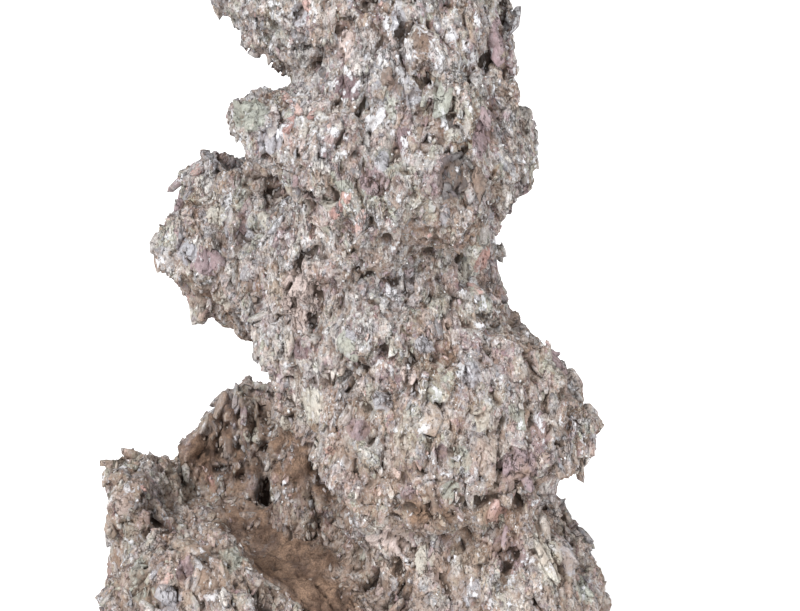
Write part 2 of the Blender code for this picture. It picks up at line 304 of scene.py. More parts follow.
class Graph:
    """The node tree of one material."""

    def __init__(self, name: str) -> None:
        """Start a material with nothing but its output and its Principled shader."""
        self.material = bpy.data.materials.new(name)
        self.material.use_nodes = True
        self.tree = self.material.node_tree
        self.shader = self.tree.nodes["Principled BSDF"]

    def add(self, kind: str, settings: dict[str, Any], inputs: dict[Any, Any], output: Any = 0) -> Wire:
        """Add one node.

        Args:
            kind: The node's type.
            settings: The node's own properties. A ramp takes "stops", its positions and colours,
                and "interpolation".
            inputs: Socket name or number to a value or a Wire.
            output: Name or number of the output that is wanted.

        Returns:
            That output.
        """
        node = self.tree.nodes.new(kind)
        for key, value in settings.items():
            if key == "stops":
                self._set_stops(node.color_ramp, value)
            elif key == "interpolation":
                node.color_ramp.interpolation = value
            else:
                setattr(node, key, value)
        for key, value in inputs.items():
            self.feed(node.inputs[key], value)
        return Wire(self, node.outputs[output])

    def _set_stops(self, ramp: bpy.types.ColorRamp, stops: list[tuple[float, Colour]]) -> None:
        """Give a ramp these stops and no others."""
        while len(ramp.elements) < len(stops):
            ramp.elements.new(1.0)
        for element, (position, colour) in zip(ramp.elements, stops):
            element.position = position
            element.color = (*colour, 1.0)

    def feed(self, socket: bpy.types.NodeSocket, value: Any) -> None:
        """Link a Wire to a socket, or set the socket's own value."""
        if isinstance(value, Wire):
            self.tree.links.new(value.socket, socket)
        elif isinstance(value, tuple) and socket.type == "RGBA":
            socket.default_value = (*value, 1.0)
        else:
            socket.default_value = value

    def place(self) -> Wire:
        """Object coordinates, in metres."""
        return self.add("ShaderNodeTexCoord", {}, {}, "Object")

    def stretched(self, place: Wire, scale: tuple[float, float, float]) -> Wire:
        """The coordinates, scaled along each axis."""
        return self.add("ShaderNodeMapping", {}, {"Vector": place, "Scale": scale})

    def noise(self, place: Wire, scale: float, detail: float = 3.0, roughness: float = 0.55) -> Wire:
        """Fractal noise from 0 to 1."""
        inputs = {"Vector": place, "Scale": scale, "Detail": detail, "Roughness": roughness}
        return self.add("ShaderNodeTexNoise", {}, inputs, "Fac")

    def attribute(self, name: str) -> Wire:
        """One of the numbers stored on the mesh's points."""
        return self.add("ShaderNodeAttribute", {"attribute_name": name}, {}, "Fac")

    def colour_attribute(self, name: str) -> Wire:
        """One of the colours stored on the mesh's points."""
        return self.add("ShaderNodeAttribute", {"attribute_name": name}, {}, "Color")

    def smooth_step(self, value: Wire, low: float, high: float) -> Wire:
        """0 below low, 1 above high, and an even curve between them."""
        settings = {"interpolation_type": "SMOOTHSTEP"}
        return self.add("ShaderNodeMapRange", settings, {"Value": value, "From Min": low, "From Max": high})

    def below(self, value: Wire, limit: Any) -> Wire:
        """1 where the value is below the limit, otherwise 0."""
        return self.add("ShaderNodeMath", {"operation": "LESS_THAN"}, {0: value, 1: limit})

    def upward(self, place: Wire) -> Wire:
        """The coordinates' upward part."""
        return self.add("ShaderNodeSeparateXYZ", {}, {"Vector": place}, "Z")

    def dusty(self, place: Wire) -> Wire:
        """How much dust lies on the rock: more towards its foot, in patches, from 0 to 1."""
        low = self.smooth_step(self.upward(place), 0.145, 0.075)
        return low * self.smooth_step(self.noise(place, 90.0, 5.0, 0.7), 0.46, 0.58)

    def vector(self, operation: str, first: Any, second: Any, output: Any = 0) -> Wire:
        """One Vector Math node on two vectors."""
        return self.add("ShaderNodeVectorMath", {"operation": operation}, {0: first, 1: second}, output)

    def moved(self, place: Wire, seat: tuple[float, float, float]) -> Wire:
        """The coordinates, moved by that much."""
        return self.vector("ADD", place, seat)

    def cells(self, place: Wire, scale: float) -> Wire:
        """The distance from the nearest of scattered points; "Color" beside it is random for each."""
        return self.add("ShaderNodeTexVoronoi", {}, {"Vector": place, "Scale": scale}, "Distance")

    def facets(self, place: Wire, cell: Wire, scale: float) -> Wire:
        """Flats at random tilts, one in each cell: (place - cell point) . (random colour - 1/2)."""
        away = self.vector("SUBTRACT", place, cell.beside("Position"))
        tilt = self.vector("SUBTRACT", cell.beside("Color"), (0.5, 0.5, 0.5))
        return self.vector("DOT_PRODUCT", away, tilt, "Value") * scale

    def channel(self, colour: Wire, name: str) -> Wire:
        """One channel of a colour."""
        return self.add("ShaderNodeSeparateColor", {}, {"Color": colour}, name)

    def grey(self, value: Wire) -> Wire:
        """A grey of that value, as a colour."""
        return self.add("ShaderNodeCombineColor", {}, {"Red": value, "Green": value, "Blue": value}, "Color")

    def shifted(self, place: Wire, scale: float, amount: float) -> Wire:
        """The coordinates, shaken by noise of that scale by up to that amount."""
        inputs = {"Vector": place, "Scale": scale, "Detail": 3.0}
        wobble = self.add("ShaderNodeTexNoise", {}, inputs, "Color")
        shift = self.add("ShaderNodeVectorMath", {"operation": "SCALE"}, {0: wobble, "Scale": amount * 2})
        return self.vector("ADD", place, shift)

    def mix(self, share: Any, first: Any, second: Any, blend: str = "MIX") -> Wire:
        """Two colours mixed: share 0 gives the first."""
        settings = {"data_type": "RGBA", "blend_type": blend}
        return self.add("ShaderNodeMix", settings, {0: share, 6: first, 7: second}, 2)

    def shaded(self, colour: Wire, value: Wire) -> Wire:
        """The colour times a grey of that value."""
        return self.mix(1.0, colour, self.grey(value), "MULTIPLY")

    def bump(self, height: Wire, distance: float) -> Wire:
        """A normal bent by a height."""
        inputs = {"Height": height, "Distance": distance, "Strength": 1.0}
        return self.add("ShaderNodeBump", {}, inputs, "Normal")

    def finish(self, colour: Wire, roughness: Any, normal: Wire, specular: float) -> bpy.types.Material:
        """Feed the Principled shader.

        Args:
            colour: Base colour.
            roughness: A value or a Wire.
            normal: The bent normal.
            specular: The specular level, the same all over.

        Returns:
            The material.
        """
        self.feed(self.shader.inputs["Base Color"], colour)
        self.feed(self.shader.inputs["Roughness"], roughness)
        self.feed(self.shader.inputs["Normal"], normal)
        self.shader.inputs["Specular IOR Level"].default_value = specular
        return self.material


@dataclass(frozen=True)
class GrainLayer:
    """One size of grain in the pattern: cells, of which a share shows a colour of its own."""

    scale: float  # cells in a metre
    tallness: float
    shake: float  # how far the cells' borders wander
    share: float
    strength: float
    tilt: float  # how strongly the cells' flats are tilted
    colours: tuple[Colour, ...]


@dataclass(frozen=True)
class Patch:
    """One colour that shows in ragged patches: where a noise of its own is high."""

    colour: Colour
    scale: float  # of the noise, for a metre
    seat: tuple[float, float, float]  # where in the noise its patches are taken from
    start: float  # noise above which it shows
    strength: float


@dataclass(frozen=True)
class BrecciaPattern:
    """The rock's own pattern, which runs through the ground and the fragments alike, with painted glints
    among its white spots and painted shade in its dark specks and cracks.
    """

    warm: Colour = (0.44, 0.355, 0.30)
    cool: Colour = (0.40, 0.38, 0.375)
    iron: Colour = (0.225, 0.135, 0.085)
    # colour of the white spots, which are partly painted glints
    white: Colour = (0.80, 0.80, 0.83)
    # painted shade for the dark specks and cracks
    dark: Colour = (0.045, 0.031, 0.024)
    patches: tuple[Patch, ...] = (
        Patch((0.53, 0.53, 0.54), 130.0, (3.1, 0.0, 0.0), 0.55, 0.65),
        Patch((0.26, 0.165, 0.185), 150.0, (0.0, 7.3, 0.0), 0.560, 0.80),
        Patch((0.38, 0.41, 0.33), 120.0, (0.0, 0.0, 5.7), 0.575, 0.65),
        Patch((0.57, 0.44, 0.40), 170.0, (9.1, 2.0, 0.0), 0.580, 0.70),
        Patch((0.17, 0.165, 0.195), 140.0, (0.0, 4.0, 8.3), 0.590, 0.80),
        Patch((0.21, 0.135, 0.095), 180.0, (5.0, 1.0, 4.4), 0.575, 0.75),
    )
    layers: tuple[GrainLayer, ...] = (
        GrainLayer(125.0, 1.6, 0.0042, 0.5, 0.55, 0.12, (
            (0.50, 0.49, 0.50), (0.31, 0.22, 0.235), (0.40, 0.42, 0.35), (0.30, 0.30, 0.33),
            (0.52, 0.40, 0.36), (0.56, 0.55, 0.52), (0.22, 0.155, 0.125), (0.42, 0.41, 0.45))),
        GrainLayer(290.0, 2.1, 0.0022, 0.5, 0.42, 1.0, (
            (0.62, 0.60, 0.58), (0.22, 0.215, 0.24), (0.33, 0.225, 0.235), (0.50, 0.37, 0.33),
            (0.13, 0.105, 0.095), (0.43, 0.43, 0.44), (0.38, 0.37, 0.29), (0.30, 0.20, 0.14),
            (0.56, 0.52, 0.46))),
        GrainLayer(950.0, 1.4, 0.0005, 0.65, 0.42, 0.35, (
            (0.70, 0.68, 0.67), (0.17, 0.135, 0.115), (0.40, 0.37, 0.35), (0.28, 0.185, 0.125),
            (0.47, 0.43, 0.39), (0.27, 0.265, 0.28), (0.085, 0.06, 0.05), (0.52, 0.42, 0.38))),
    )

    def paint(self, graph: Graph, place: Wire) -> tuple[Wire, Wire]:
        """Colour and height of the pattern.

        Args:
            graph: The material.
            place: Object coordinates.

        Returns:
            The colour, and a height of about 0 to 1.
        """
        upper = graph.smooth_step(graph.upward(place), 0.13, 0.19)
        cool = graph.smooth_step(graph.noise(place, 45.0, 2.0), 0.4, 0.6) * 0.75 + upper * 0.45
        colour = graph.mix(cool, self.warm, self.cool)
        upright = graph.stretched(place, UPRIGHT)
        fine = graph.noise(upright, 1500.0, 3.0, 0.8)
        height = fine * 1.2
        for patch in self.patches:
            own = graph.noise(graph.moved(upright, patch.seat), patch.scale, 5.0, 0.68)
            shown = graph.smooth_step(own, patch.start, patch.start + 0.035)
            colour = graph.mix(shown * patch.strength, colour, patch.colour)
        for layer in self.layers:
            shaken = graph.shifted(place, layer.scale * 1.7, layer.shake)
            tall = graph.stretched(shaken, (1, 1, 1 / layer.tallness))
            cell = graph.cells(tall, layer.scale)
            tint = cell.beside("Color")
            shown = graph.below(graph.channel(tint, "Green"), layer.share)
            stops = [(index / len(layer.colours), own) for index, own in enumerate(layer.colours)]
            settings = {"interpolation": "CONSTANT", "stops": stops}
            own = graph.add("ShaderNodeValToRGB", settings, {"Fac": graph.channel(tint, "Red")}, "Color")
            colour = graph.mix(shown * layer.strength, colour, own)
            height = height + graph.facets(tall, cell, layer.scale) * layer.tilt
        colour = graph.shaded(colour, fine * 3.0 - 0.5)
        rust = graph.smooth_step(graph.noise(upright, 65.0, 5.0, 0.68), 0.53, 0.66)
        return graph.mix(rust * graph.smooth_step(fine, 0.62, 0.42) * 0.85, colour, self.iron), height

    def inlaid(self, graph: Graph, place: Wire, colour: Wire) -> Wire:
        """The colour, with the clasts that lie flush in the surface laid over it, ragged at their edges."""
        ragged = graph.noise(place, 330.0, 5.0, 0.7)
        shown = graph.smooth_step(graph.attribute("inlaid") + ragged * 0.8, 0.98, 1.06)
        fine = graph.noise(graph.stretched(place, UPRIGHT), 1100.0, 4.0, 0.8)
        clast = graph.shaded(graph.colour_attribute("tint"), fine * 2.2 - 0.1)
        return graph.mix(shown * 0.8, colour, clast)

    def speckle(self, graph: Graph, place: Wire, colour: Wire, height: Wire) -> tuple[Wire, Wire]:
        """White spots, partly chalky grains and partly painted glints, and dark specks and thin upright
        cracks darkened with painted shade, over a colour.

        Args:
            graph: The material.
            place: Object coordinates.
            colour: What they lie on.
            height: Its height.

        Returns:
            The colour, and the height with the spots raised and the cracks sunk.
        """
        upright = graph.stretched(place, UPRIGHT)
        line = graph.noise(graph.stretched(place, (1.0, 1.0, 0.4)), 170.0, 4.0, 0.6)
        apart = graph.add("ShaderNodeMath", {"operation": "ABSOLUTE"}, {0: line - 0.5})
        open_here = graph.smooth_step(graph.noise(place, 75.0, 2.0), 0.50, 0.58)
        crack = graph.smooth_step(apart, 0.020, 0.004) * open_here
        speck = graph.noise(graph.moved(upright, (0.0, 1.7, 2.9)), 620.0, 3.0, 0.75)
        gap = graph.smooth_step(speck, 0.41, 0.35)
        # White spots, partly chalky grains and partly painted glints, clustered and more common on the upper
        # block.
        chalk_and_glint = graph.noise(graph.moved(upright, (6.3, 0.0, 1.1)), 300.0, 5.0, 0.66)
        upper = graph.smooth_step(graph.upward(place), 0.165, 0.195) * 0.06
        cluster = graph.smooth_step(graph.noise(place, 55.0, 3.0) + upper, 0.46, 0.60)
        chalk_and_glint = graph.smooth_step(chalk_and_glint, 0.555, 0.605) * (0.12 + 0.88 * cluster)
        colour = graph.mix(chalk_and_glint * 0.85, colour, self.white)
        # The specks and cracks are darkened with painted shade.
        hole = 1.0 - (1.0 - crack) * (1.0 - gap)
        colour = graph.mix(hole * 0.7, colour, self.dark)
        return colour, height * 0.5 - hole * 0.5 + chalk_and_glint * 0.25


@dataclass(frozen=True)
class GroundFinish:
    """The breccia's own ground: the pattern, browner in its hollows from earth and painted shade and darkest
    in the deepest ones with painted shade, and earthy in its basin and in its brown patches, some of which
    are painted shadow.
    """

    name: str = "breccia_ground"
    pattern: BrecciaPattern = BrecciaPattern()
    # dark mud, which stands for earth and also for painted shade in hollows and below ledges
    earth: Colour = (0.115, 0.067, 0.045)
    earth_light: Colour = (0.290, 0.190, 0.132)
    # painted shade at the bottom of the deepest hollows
    crevice_shade: Colour = (0.045, 0.031, 0.023)
    dust: Colour = DUST
    roughness: float = 0.88
    specular: float = 0.3
    bump: float = 0.0009  # metres

    def material(self) -> bpy.types.Material:
        """The finished material."""
        graph = Graph(self.name)
        place = graph.place()
        colour, height = self.pattern.paint(graph, place)
        fine = graph.noise(place, 1500.0, 4.0, 0.7)
        streak = graph.noise(graph.stretched(place, (1.0, 0.35, 1.0)), 170.0, 4.0, 0.6)
        mud_and_shade = graph.mix(graph.smooth_step(streak, 0.38, 0.62), self.earth, self.earth_light)
        mud_and_shade = graph.shaded(mud_and_shade, fine * 2.4 - 0.2)
        colour = graph.mix(graph.dusty(place) * 0.6, self.pattern.inlaid(graph, place, colour), self.dust)
        colour, height = self.pattern.speckle(graph, place, colour, height)
        # The earth and shade mask browns and darkens the basin, the downward faces and the brown patches, of
        # which those below ledges and beside edges are painted shadow.
        colour = graph.mix(graph.attribute("earth") * (0.75 + 0.4 * streak), colour, mud_and_shade)
        hollow = graph.attribute("hollow")
        # Hollows grow browner, partly from earth lodged in them and partly as painted shade; the deepest
        # take the crevice colour, which is painted shade.
        colour = graph.mix(graph.smooth_step(hollow, 0.0, 0.55) * 0.45, colour, mud_and_shade)
        colour = graph.mix(graph.smooth_step(hollow, 0.3, 1.0) * 0.85, colour, self.crevice_shade)
        return graph.finish(colour, self.roughness, graph.bump(height, self.bump), self.specular)


@dataclass(frozen=True)
class FragmentFinish:
    """One kind of fragment: two tones between which each fragment has its own, over the pattern."""

    rock: Rock
    dark: Colour
    light: Colour
    share: float  # how common the kind is
    earth_share: float  # how common it is on the basin's floor
    own: float = 0.62  # how much of its own tone shows through the pattern
    roughness: float = 0.8
    specular: float = 0.35
    bump: float = 0.0007  # metres
    dust: Colour = DUST
    pattern: BrecciaPattern = BrecciaPattern()

    def material(self) -> bpy.types.Material:
        """The finished material."""
        graph = Graph(f"breccia_{self.rock.value}")
        place = graph.place()
        around, height = self.pattern.paint(graph, place)
        own = graph.mix(graph.attribute("tone"), self.dark, self.light)
        mottle = graph.noise(place, 1100.0, 4.0, 0.8)
        own = graph.shaded(own, mottle * 2.8 - 0.4)
        patch = graph.smooth_step(graph.noise(place, 260.0, 5.0, 0.7), 0.56, 0.47)
        colour = graph.mix(self.own * (0.25 + 0.75 * patch), around, own)
        colour = graph.mix(graph.dusty(place) * 0.45, self.pattern.inlaid(graph, place, colour), self.dust)
        colour, height = self.pattern.speckle(graph, place, colour, height * 0.6 + mottle * 0.5)
        return graph.finish(colour, self.roughness, graph.bump(height, self.bump), self.specular)


FINISHES = (
    FragmentFinish(Rock.ASH, (0.29, 0.275, 0.265), (0.52, 0.495, 0.48), 0.24, 0.12, own=0.55),
    FragmentFinish(Rock.SLATE, (0.125, 0.12, 0.13), (0.33, 0.335, 0.37), 0.17, 0.08, own=0.7),
    FragmentFinish(Rock.MAUVE, (0.22, 0.145, 0.155), (0.41, 0.30, 0.315), 0.13, 0.10, own=0.7),
    FragmentFinish(Rock.ROSE, (0.40, 0.225, 0.205), (0.61, 0.47, 0.425), 0.025, 0.01, own=0.95),
    FragmentFinish(Rock.CREAM, (0.46, 0.41, 0.36), (0.76, 0.74, 0.71), 0.12, 0.03, own=0.7),
    FragmentFinish(Rock.OLIVE, (0.29, 0.29, 0.235), (0.47, 0.475, 0.40), 0.09, 0.06, own=0.65),
    FragmentFinish(Rock.GRIT, (0.17, 0.108, 0.075), (0.38, 0.285, 0.215), 0.20, 0.60, own=0.6),
    FragmentFinish(Rock.QUARTZ, (0.82, 0.82, 0.83), (0.95, 0.95, 0.96), 0.0, 0.0, own=1.0,
                   roughness=0.3, specular=0.5),
)


@dataclass(frozen=True)
class PhotoView:
    """The photograph's viewpoint: where it stands, where it looks and how wide it sees."""

    target: tuple[float, float, float] = (0.01735, -0.0005, 0.1377)
    distance: float = 0.8
    elevation: float = math.radians(10)
    lens: float = 100.0  # millimetres
    sensor: float = 36.0  # millimetres
    width: float = 800.0  # pixels
    height: float = 611.0

    def spot(self) -> Vector:
        """Where the camera stands."""
        back = Vector((0.0, -math.cos(self.elevation), math.sin(self.elevation)))
        return Vector(self.target) + back * self.distance

    def ray(self, pixel: tuple[float, float]) -> Vector:
        """The direction in which the camera sees a pixel.

        Args:
            pixel: Across and down, in pixels of the photograph.

        Returns:
            A unit vector: forward + right * x / f + up * y / f, where f is the focal length in pixels.
        """
        focal = self.lens / self.sensor * self.width
        forward = Vector((0.0, math.cos(self.elevation), -math.sin(self.elevation)))
        upward = Vector((0.0, math.sin(self.elevation), math.cos(self.elevation)))
        across = (pixel[0] - self.width / 2) / focal
        down = (pixel[1] - self.height / 2) / focal
        return (forward + Vector((1.0, 0.0, 0.0)) * across - upward * down).normalized()

    def meets(self, tree: BVHTree, pixel: tuple[float, float]) -> tuple[Array | None, int | None]:
        """Where a pixel's ray meets the stone.

        Args:
            tree: The stone's faces.
            pixel: Across and down, in pixels of the photograph.

        Returns:
            The place and the number of the face there, or None twice where the ray misses.
        """
        place, _, number, _ = tree.ray_cast(self.spot(), self.ray(pixel))
        if place is None:
            LOG.info("the ray at pixel %s misses the stone", pixel)
            return None, None
        return np.array(place), number

    def camera(self) -> bpy.types.Object:
        """The scene's camera, at this viewpoint."""
        data = bpy.data.cameras.new("photo_camera")
        data.lens = self.lens
        data.sensor_width = self.sensor
        made = bpy.data.objects.new("photo_camera", data)
        made.location = self.spot()
        made.rotation_euler = (math.pi / 2 - self.elevation, 0.0, 0.0)
        bpy.context.scene.collection.objects.link(made)
        bpy.context.scene.camera = made
        return made


@dataclass(frozen=True)
class Pit:
    """A dark hole that the photograph shows, by its pixel, with its radius and depth."""

    pixel: tuple[float, float]
    radius: float
    depth: float


@dataclass(frozen=True)
class Groove:
    """A dark crack or ledge line that the photograph shows, by the pixels that it runs through."""

    pixels: tuple[tuple[float, float], ...]
    radius: float = 0.0016
    depth: float = 0.003


@dataclass(frozen=True)
class FlatLayer:
    """One scale at which the skin is broken into flats, with cracks between them."""

    size: float
    tallness: float
    step: float
    crack: float
    crack_width: float  # as a share of the size
    droop: float
    seed: int

    def relief(self, points: Array) -> Array:
        """How far each point moves outwards: step * flat - crack * (1 - gap / width)^2."""
        flats, gap = broken_flats(points, self.size, self.tallness, self.droop, self.seed)
        crack = np.clip(1 - gap / self.crack_width, 0, 1) ** 2
        return flats * self.step - crack * self.crack


@dataclass(frozen=True)
class Basin:
    """The hollow at the stone's foot: the ellipsoid that it was scooped out with."""

    middle: tuple[float, float, float] = (-0.0285, -0.0118, 0.0702)
    half_size: tuple[float, float, float] = (0.0218, 0.0514, 0.0247)
    turn: float = math.radians(28)
    fall: float = math.radians(15)

    def distance(self, points: Array) -> Array:
        """Distance of each point from the middle, where 1 is on the ellipsoid.

        Args:
            points: Places, n by 3.

        Returns:
            n numbers.
        """
        turn = Matrix.Rotation(self.turn, 4, "Z") @ Matrix.Rotation(self.fall, 4, "X")
        place = Matrix.Translation(self.middle) @ turn @ Matrix.Diagonal((*self.half_size, 1))
        inward = np.array(place.inverted())
        return np.linalg.norm(points @ inward[:3, :3].T + inward[:3, 3], axis=1)


@dataclass(frozen=True)
class Clast:
    """A coloured clast that the photograph shows flush in the surface, by its pixel, with its real size."""

    pixel: tuple[float, float]
    width: float
    tall: float
    tint: Tint
    lean: float = 0.0  # radians that its long axis turns from upright, clockwise


CLASTS = (
    Clast((348, 87), 0.0095, 0.0085, Tint.PLUM, 0.3),
    Clast((347, 44), 0.005, 0.010, Tint.PINK),
    Clast((323, 72), 0.003, 0.0045, Tint.SLATE),
    Clast((300, 14), 0.006, 0.009, Tint.LILAC),
    Clast((388, 78), 0.005, 0.008, Tint.BROWN),
    Clast((402, 75), 0.004, 0.007, Tint.CHALK, -0.5),
    Clast((370, 123), 0.0045, 0.006, Tint.CHALK),
    Clast((380, 115), 0.003, 0.006, Tint.CHALK, 0.2),
    Clast((453, 127), 0.007, 0.0045, Tint.CHALK, 0.2),
    Clast((412, 96), 0.0075, 0.0075, Tint.LILAC, 0.4),
    Clast((440, 100), 0.004, 0.016, Tint.GREEN, -0.1),
    Clast((482, 135), 0.006, 0.018, Tint.MAUVE, 0.15),
    Clast((479, 180), 0.006, 0.014, Tint.BROWN, -0.2),
    Clast((454, 174), 0.011, 0.016, Tint.SLATE, 0.15),
    Clast((375, 181), 0.010, 0.010, Tint.MAUVE, -0.7),
    Clast((383, 162), 0.005, 0.007, Tint.LILAC, 0.2),
    Clast((404, 140), 0.006, 0.009, Tint.PLUM, 0.2),
    Clast((345, 187), 0.006, 0.005, Tint.GREEN),
    Clast((347, 198), 0.003, 0.0045, Tint.SALMON),
    Clast((327, 203), 0.006, 0.005, Tint.CREAM, 0.4),
    Clast((335, 213), 0.004, 0.005, Tint.SALMON, 0.2),
    Clast((497, 40), 0.006, 0.016, Tint.MAUVE, 0.1),
    Clast((250, 113), 0.014, 0.012, Tint.GREEN, 0.5),
    Clast((270, 140), 0.008, 0.010, Tint.LILAC, 0.2),
    Clast((297, 144), 0.006, 0.009, Tint.PINK, 0.1),
    Clast((420, 40), 0.006, 0.009, Tint.BROWN, 0.2),
    Clast((398, 20), 0.005, 0.010, Tint.LILAC, 0.1),
    Clast((299, 298), 0.0125, 0.027, Tint.PINK, 0.05),
    Clast((481, 262), 0.006, 0.009, Tint.SALMON, 0.3),
    Clast((465, 272), 0.006, 0.009, Tint.CREAM, 0.4),
    Clast((560, 366), 0.007, 0.012, Tint.MAUVE, -0.4),
    Clast((471, 375), 0.008, 0.009, Tint.LILAC),
    Clast((462, 372), 0.004, 0.006, Tint.CHALK, 0.3),
    Clast((408, 373), 0.006, 0.006, Tint.PINK),
    Clast((520, 467), 0.013, 0.014, Tint.MAUVE, 0.3),
    Clast((541, 437), 0.007, 0.013, Tint.MAUVE, 0.1),
    Clast((358, 430), 0.009, 0.0075, Tint.MAUVE),
    Clast((313, 402), 0.009, 0.012, Tint.CREAM, 0.3),
    Clast((330, 451), 0.004, 0.004, Tint.SALMON),
    Clast((371, 303), 0.003, 0.003, Tint.BROWN),
    Clast((517, 412), 0.006, 0.007, Tint.GREEN, -0.4),
    Clast((399, 437), 0.004, 0.007, Tint.CREAM),
    Clast((441, 452), 0.005, 0.005, Tint.PLUM),
    Clast((460, 460), 0.008, 0.009, Tint.GREEN, 0.2),
    Clast((346, 461), 0.004, 0.005, Tint.CHALK),
    Clast((392, 294), 0.006, 0.004, Tint.CHALK, 0.8),
    Clast((350, 338), 0.005, 0.005, Tint.LILAC),
    Clast((408, 495), 0.006, 0.006, Tint.MAUVE),
    Clast((450, 490), 0.008, 0.007, Tint.GREEN),
    Clast((345, 345), 0.007, 0.009, Tint.GREEN, 0.3),
    Clast((425, 345), 0.007, 0.006, Tint.LILAC, 0.3),
    Clast((383, 400), 0.007, 0.009, Tint.LILAC, -0.2),
    Clast((480, 420), 0.006, 0.009, Tint.CREAM, 0.1),
    Clast((433, 398), 0.006, 0.008, Tint.GREEN, 0.1),
    Clast((300, 350), 0.006, 0.008, Tint.PLUM, 0.2),
    Clast((495, 513), 0.009, 0.007, Tint.SALMON, -0.4),
    Clast((394, 538), 0.010, 0.014, Tint.PINK, -0.5),
    Clast((371, 545), 0.005, 0.010, Tint.PINK, 0.1),
    Clast((508, 550), 0.013, 0.015, Tint.MAUVE),
    Clast((548, 564), 0.006, 0.020, Tint.CREAM, -0.45),
    Clast((570, 560), 0.008, 0.012, Tint.LILAC, -0.3),
    Clast((585, 590), 0.007, 0.010, Tint.GREEN, -0.3),
    Clast((425, 560), 0.007, 0.010, Tint.CREAM, 0.1),
    Clast((470, 590), 0.008, 0.010, Tint.LILAC),
    Clast((217, 214), 0.007, 0.007, Tint.CREAM, 0.3),
    Clast((266, 220), 0.008, 0.0065, Tint.CREAM, 0.2),
    Clast((207, 262), 0.009, 0.010, Tint.MAUVE, 0.4),
    Clast((186, 252), 0.009, 0.009, Tint.LILAC, 0.2),
    Clast((246, 236), 0.007, 0.009, Tint.LILAC, -0.3),
    Clast((180, 207), 0.004, 0.007, Tint.MAUVE),
    Clast((222, 300), 0.008, 0.007, Tint.CREAM, 0.5),
    Clast((285, 425), 0.005, 0.008, Tint.CREAM, 0.3),
    Clast((210, 478), 0.003, 0.012, Tint.SALMON, -0.4),
    Clast((182, 497), 0.010, 0.008, Tint.CREAM, 0.9),
    Clast((230, 560), 0.009, 0.008, Tint.GREEN, 0.2),
    Clast((185, 570), 0.006, 0.008, Tint.MAUVE, 0.2),
    Clast((140, 580), 0.008, 0.016, Tint.GREEN, -0.1),
    Clast((168, 600), 0.007, 0.012, Tint.LILAC, -0.2),
    Clast((125, 500), 0.006, 0.010, Tint.PINK, 0.1),
)


@dataclass
class Inlay:
    """The clasts flush in the surface, each with its place on the stone."""

    placed: list[tuple[Clast, Array]]
    stray: float = 0.22  # how far an outline strays, as a share of the half size
    stray_size: float = 0.004
    stray_seed: int = 860

    @classmethod
    def on(cls, tree: BVHTree, view: PhotoView) -> "Inlay":
        """Find where each clast's pixel lies on the stone."""
        met = [(clast, view.meets(tree, clast.pixel)[0]) for clast in CLASTS]
        return cls([(clast, place) for clast, place in met if place is not None])

    def tints(self, points: Array) -> tuple[Array, Array]:
        """Colour each point by the clast that it lies in or nearest to.

        In a clast's own turned axes u (across), v (up) and y, a point's distance is
        sqrt((2 u / width)^2 + (2 v / tall)^2 + (y / tall)^2), where 1 is on the outline.

        Args:
            points: Places, n by 3.

        Returns:
            Colours, n by 3, and how far inside a clast each point lies: 0.6 on the outline, 1 well inside.
        """
        nearest = np.full(len(points), 9.0)
        colours = np.full((len(points), 3), 0.4)
        stray = cloud(points, self.stray_size, self.stray_seed) * self.stray
        for clast, place in self.placed:
            near = np.flatnonzero(np.abs(points - place).max(axis=1) < 1.2 * max(clast.width, clast.tall))
            away = points[near] - place
            turn = math.cos(clast.lean), math.sin(clast.lean)
            across = (away[:, 0] * turn[0] - away[:, 2] * turn[1]) * 2 / clast.width
            up = (away[:, 0] * turn[1] + away[:, 2] * turn[0]) * 2 / clast.tall
            distance = np.sqrt(across**2 + up**2 + (away[:, 1] / clast.tall) ** 2) + stray[near]
            closer = distance < nearest[near]
            nearest[near[closer]] = distance[closer]
            colours[near[closer]] = clast.tint.value
        return colours, np.clip(1.6 - nearest, 0, 1)


@dataclass
class Surface:
    """The finished skin as arrays, on which the fragments are bedded."""

    points: Array
    normals: Array
    triangles: Array
    earth: Array
    hollow: Array
    tree: BVHTree
    inlay: Inlay
    tries_each: float = 3  # random places tried for each square of the spacing

    def scatter(self, spacing: float, rng: np.random.Generator) -> tuple[Array, Array, Array]:
        """Even but irregular places: random ones by area, of which each cube of a lattice keeps one.

        Args:
            spacing: Side of a cube.
            rng: The source of random numbers.

        Returns:
            Places and outward normals, n by 3, and how much earth and painted shade each place has.
        """
        corners = self.points[self.triangles]
        cross = np.cross(corners[:, 1] - corners[:, 0], corners[:, 2] - corners[:, 0])
        area = np.cumsum(np.linalg.norm(cross, axis=1) / 2)
        tries = int(area[-1] / spacing**2 * self.tries_each)
        chosen = np.searchsorted(area, rng.random(tries) * area[-1])
        chosen = np.minimum(chosen, len(area) - 1)
        first, second = rng.random((2, tries))
        over = first + second > 1
        first[over], second[over] = 1 - first[over], 1 - second[over]
        weights = np.stack([1 - first - second, first, second], axis=1)
        numbers = self.triangles[chosen]
        places = np.einsum("nk,nkd->nd", weights, self.points[numbers])
        normals = unit(np.einsum("nk,nkd->nd", weights, self.normals[numbers]))
        earth = np.einsum("nk,nk->n", weights, self.earth[numbers])
        _, kept = np.unique(np.floor(places / spacing).astype(int), axis=0, return_index=True)
        kept.sort()
        return places[kept], normals[kept], earth[kept]


@dataclass(frozen=True)
class StainAndShade:
    """A brown, dusty patch that the photograph shows, by its pixel, with its radius; most are stains on the
    rock, and those below ledges and beside edges are painted shadow.
    """

    pixel: tuple[float, float]
    radius: float
    strength: float


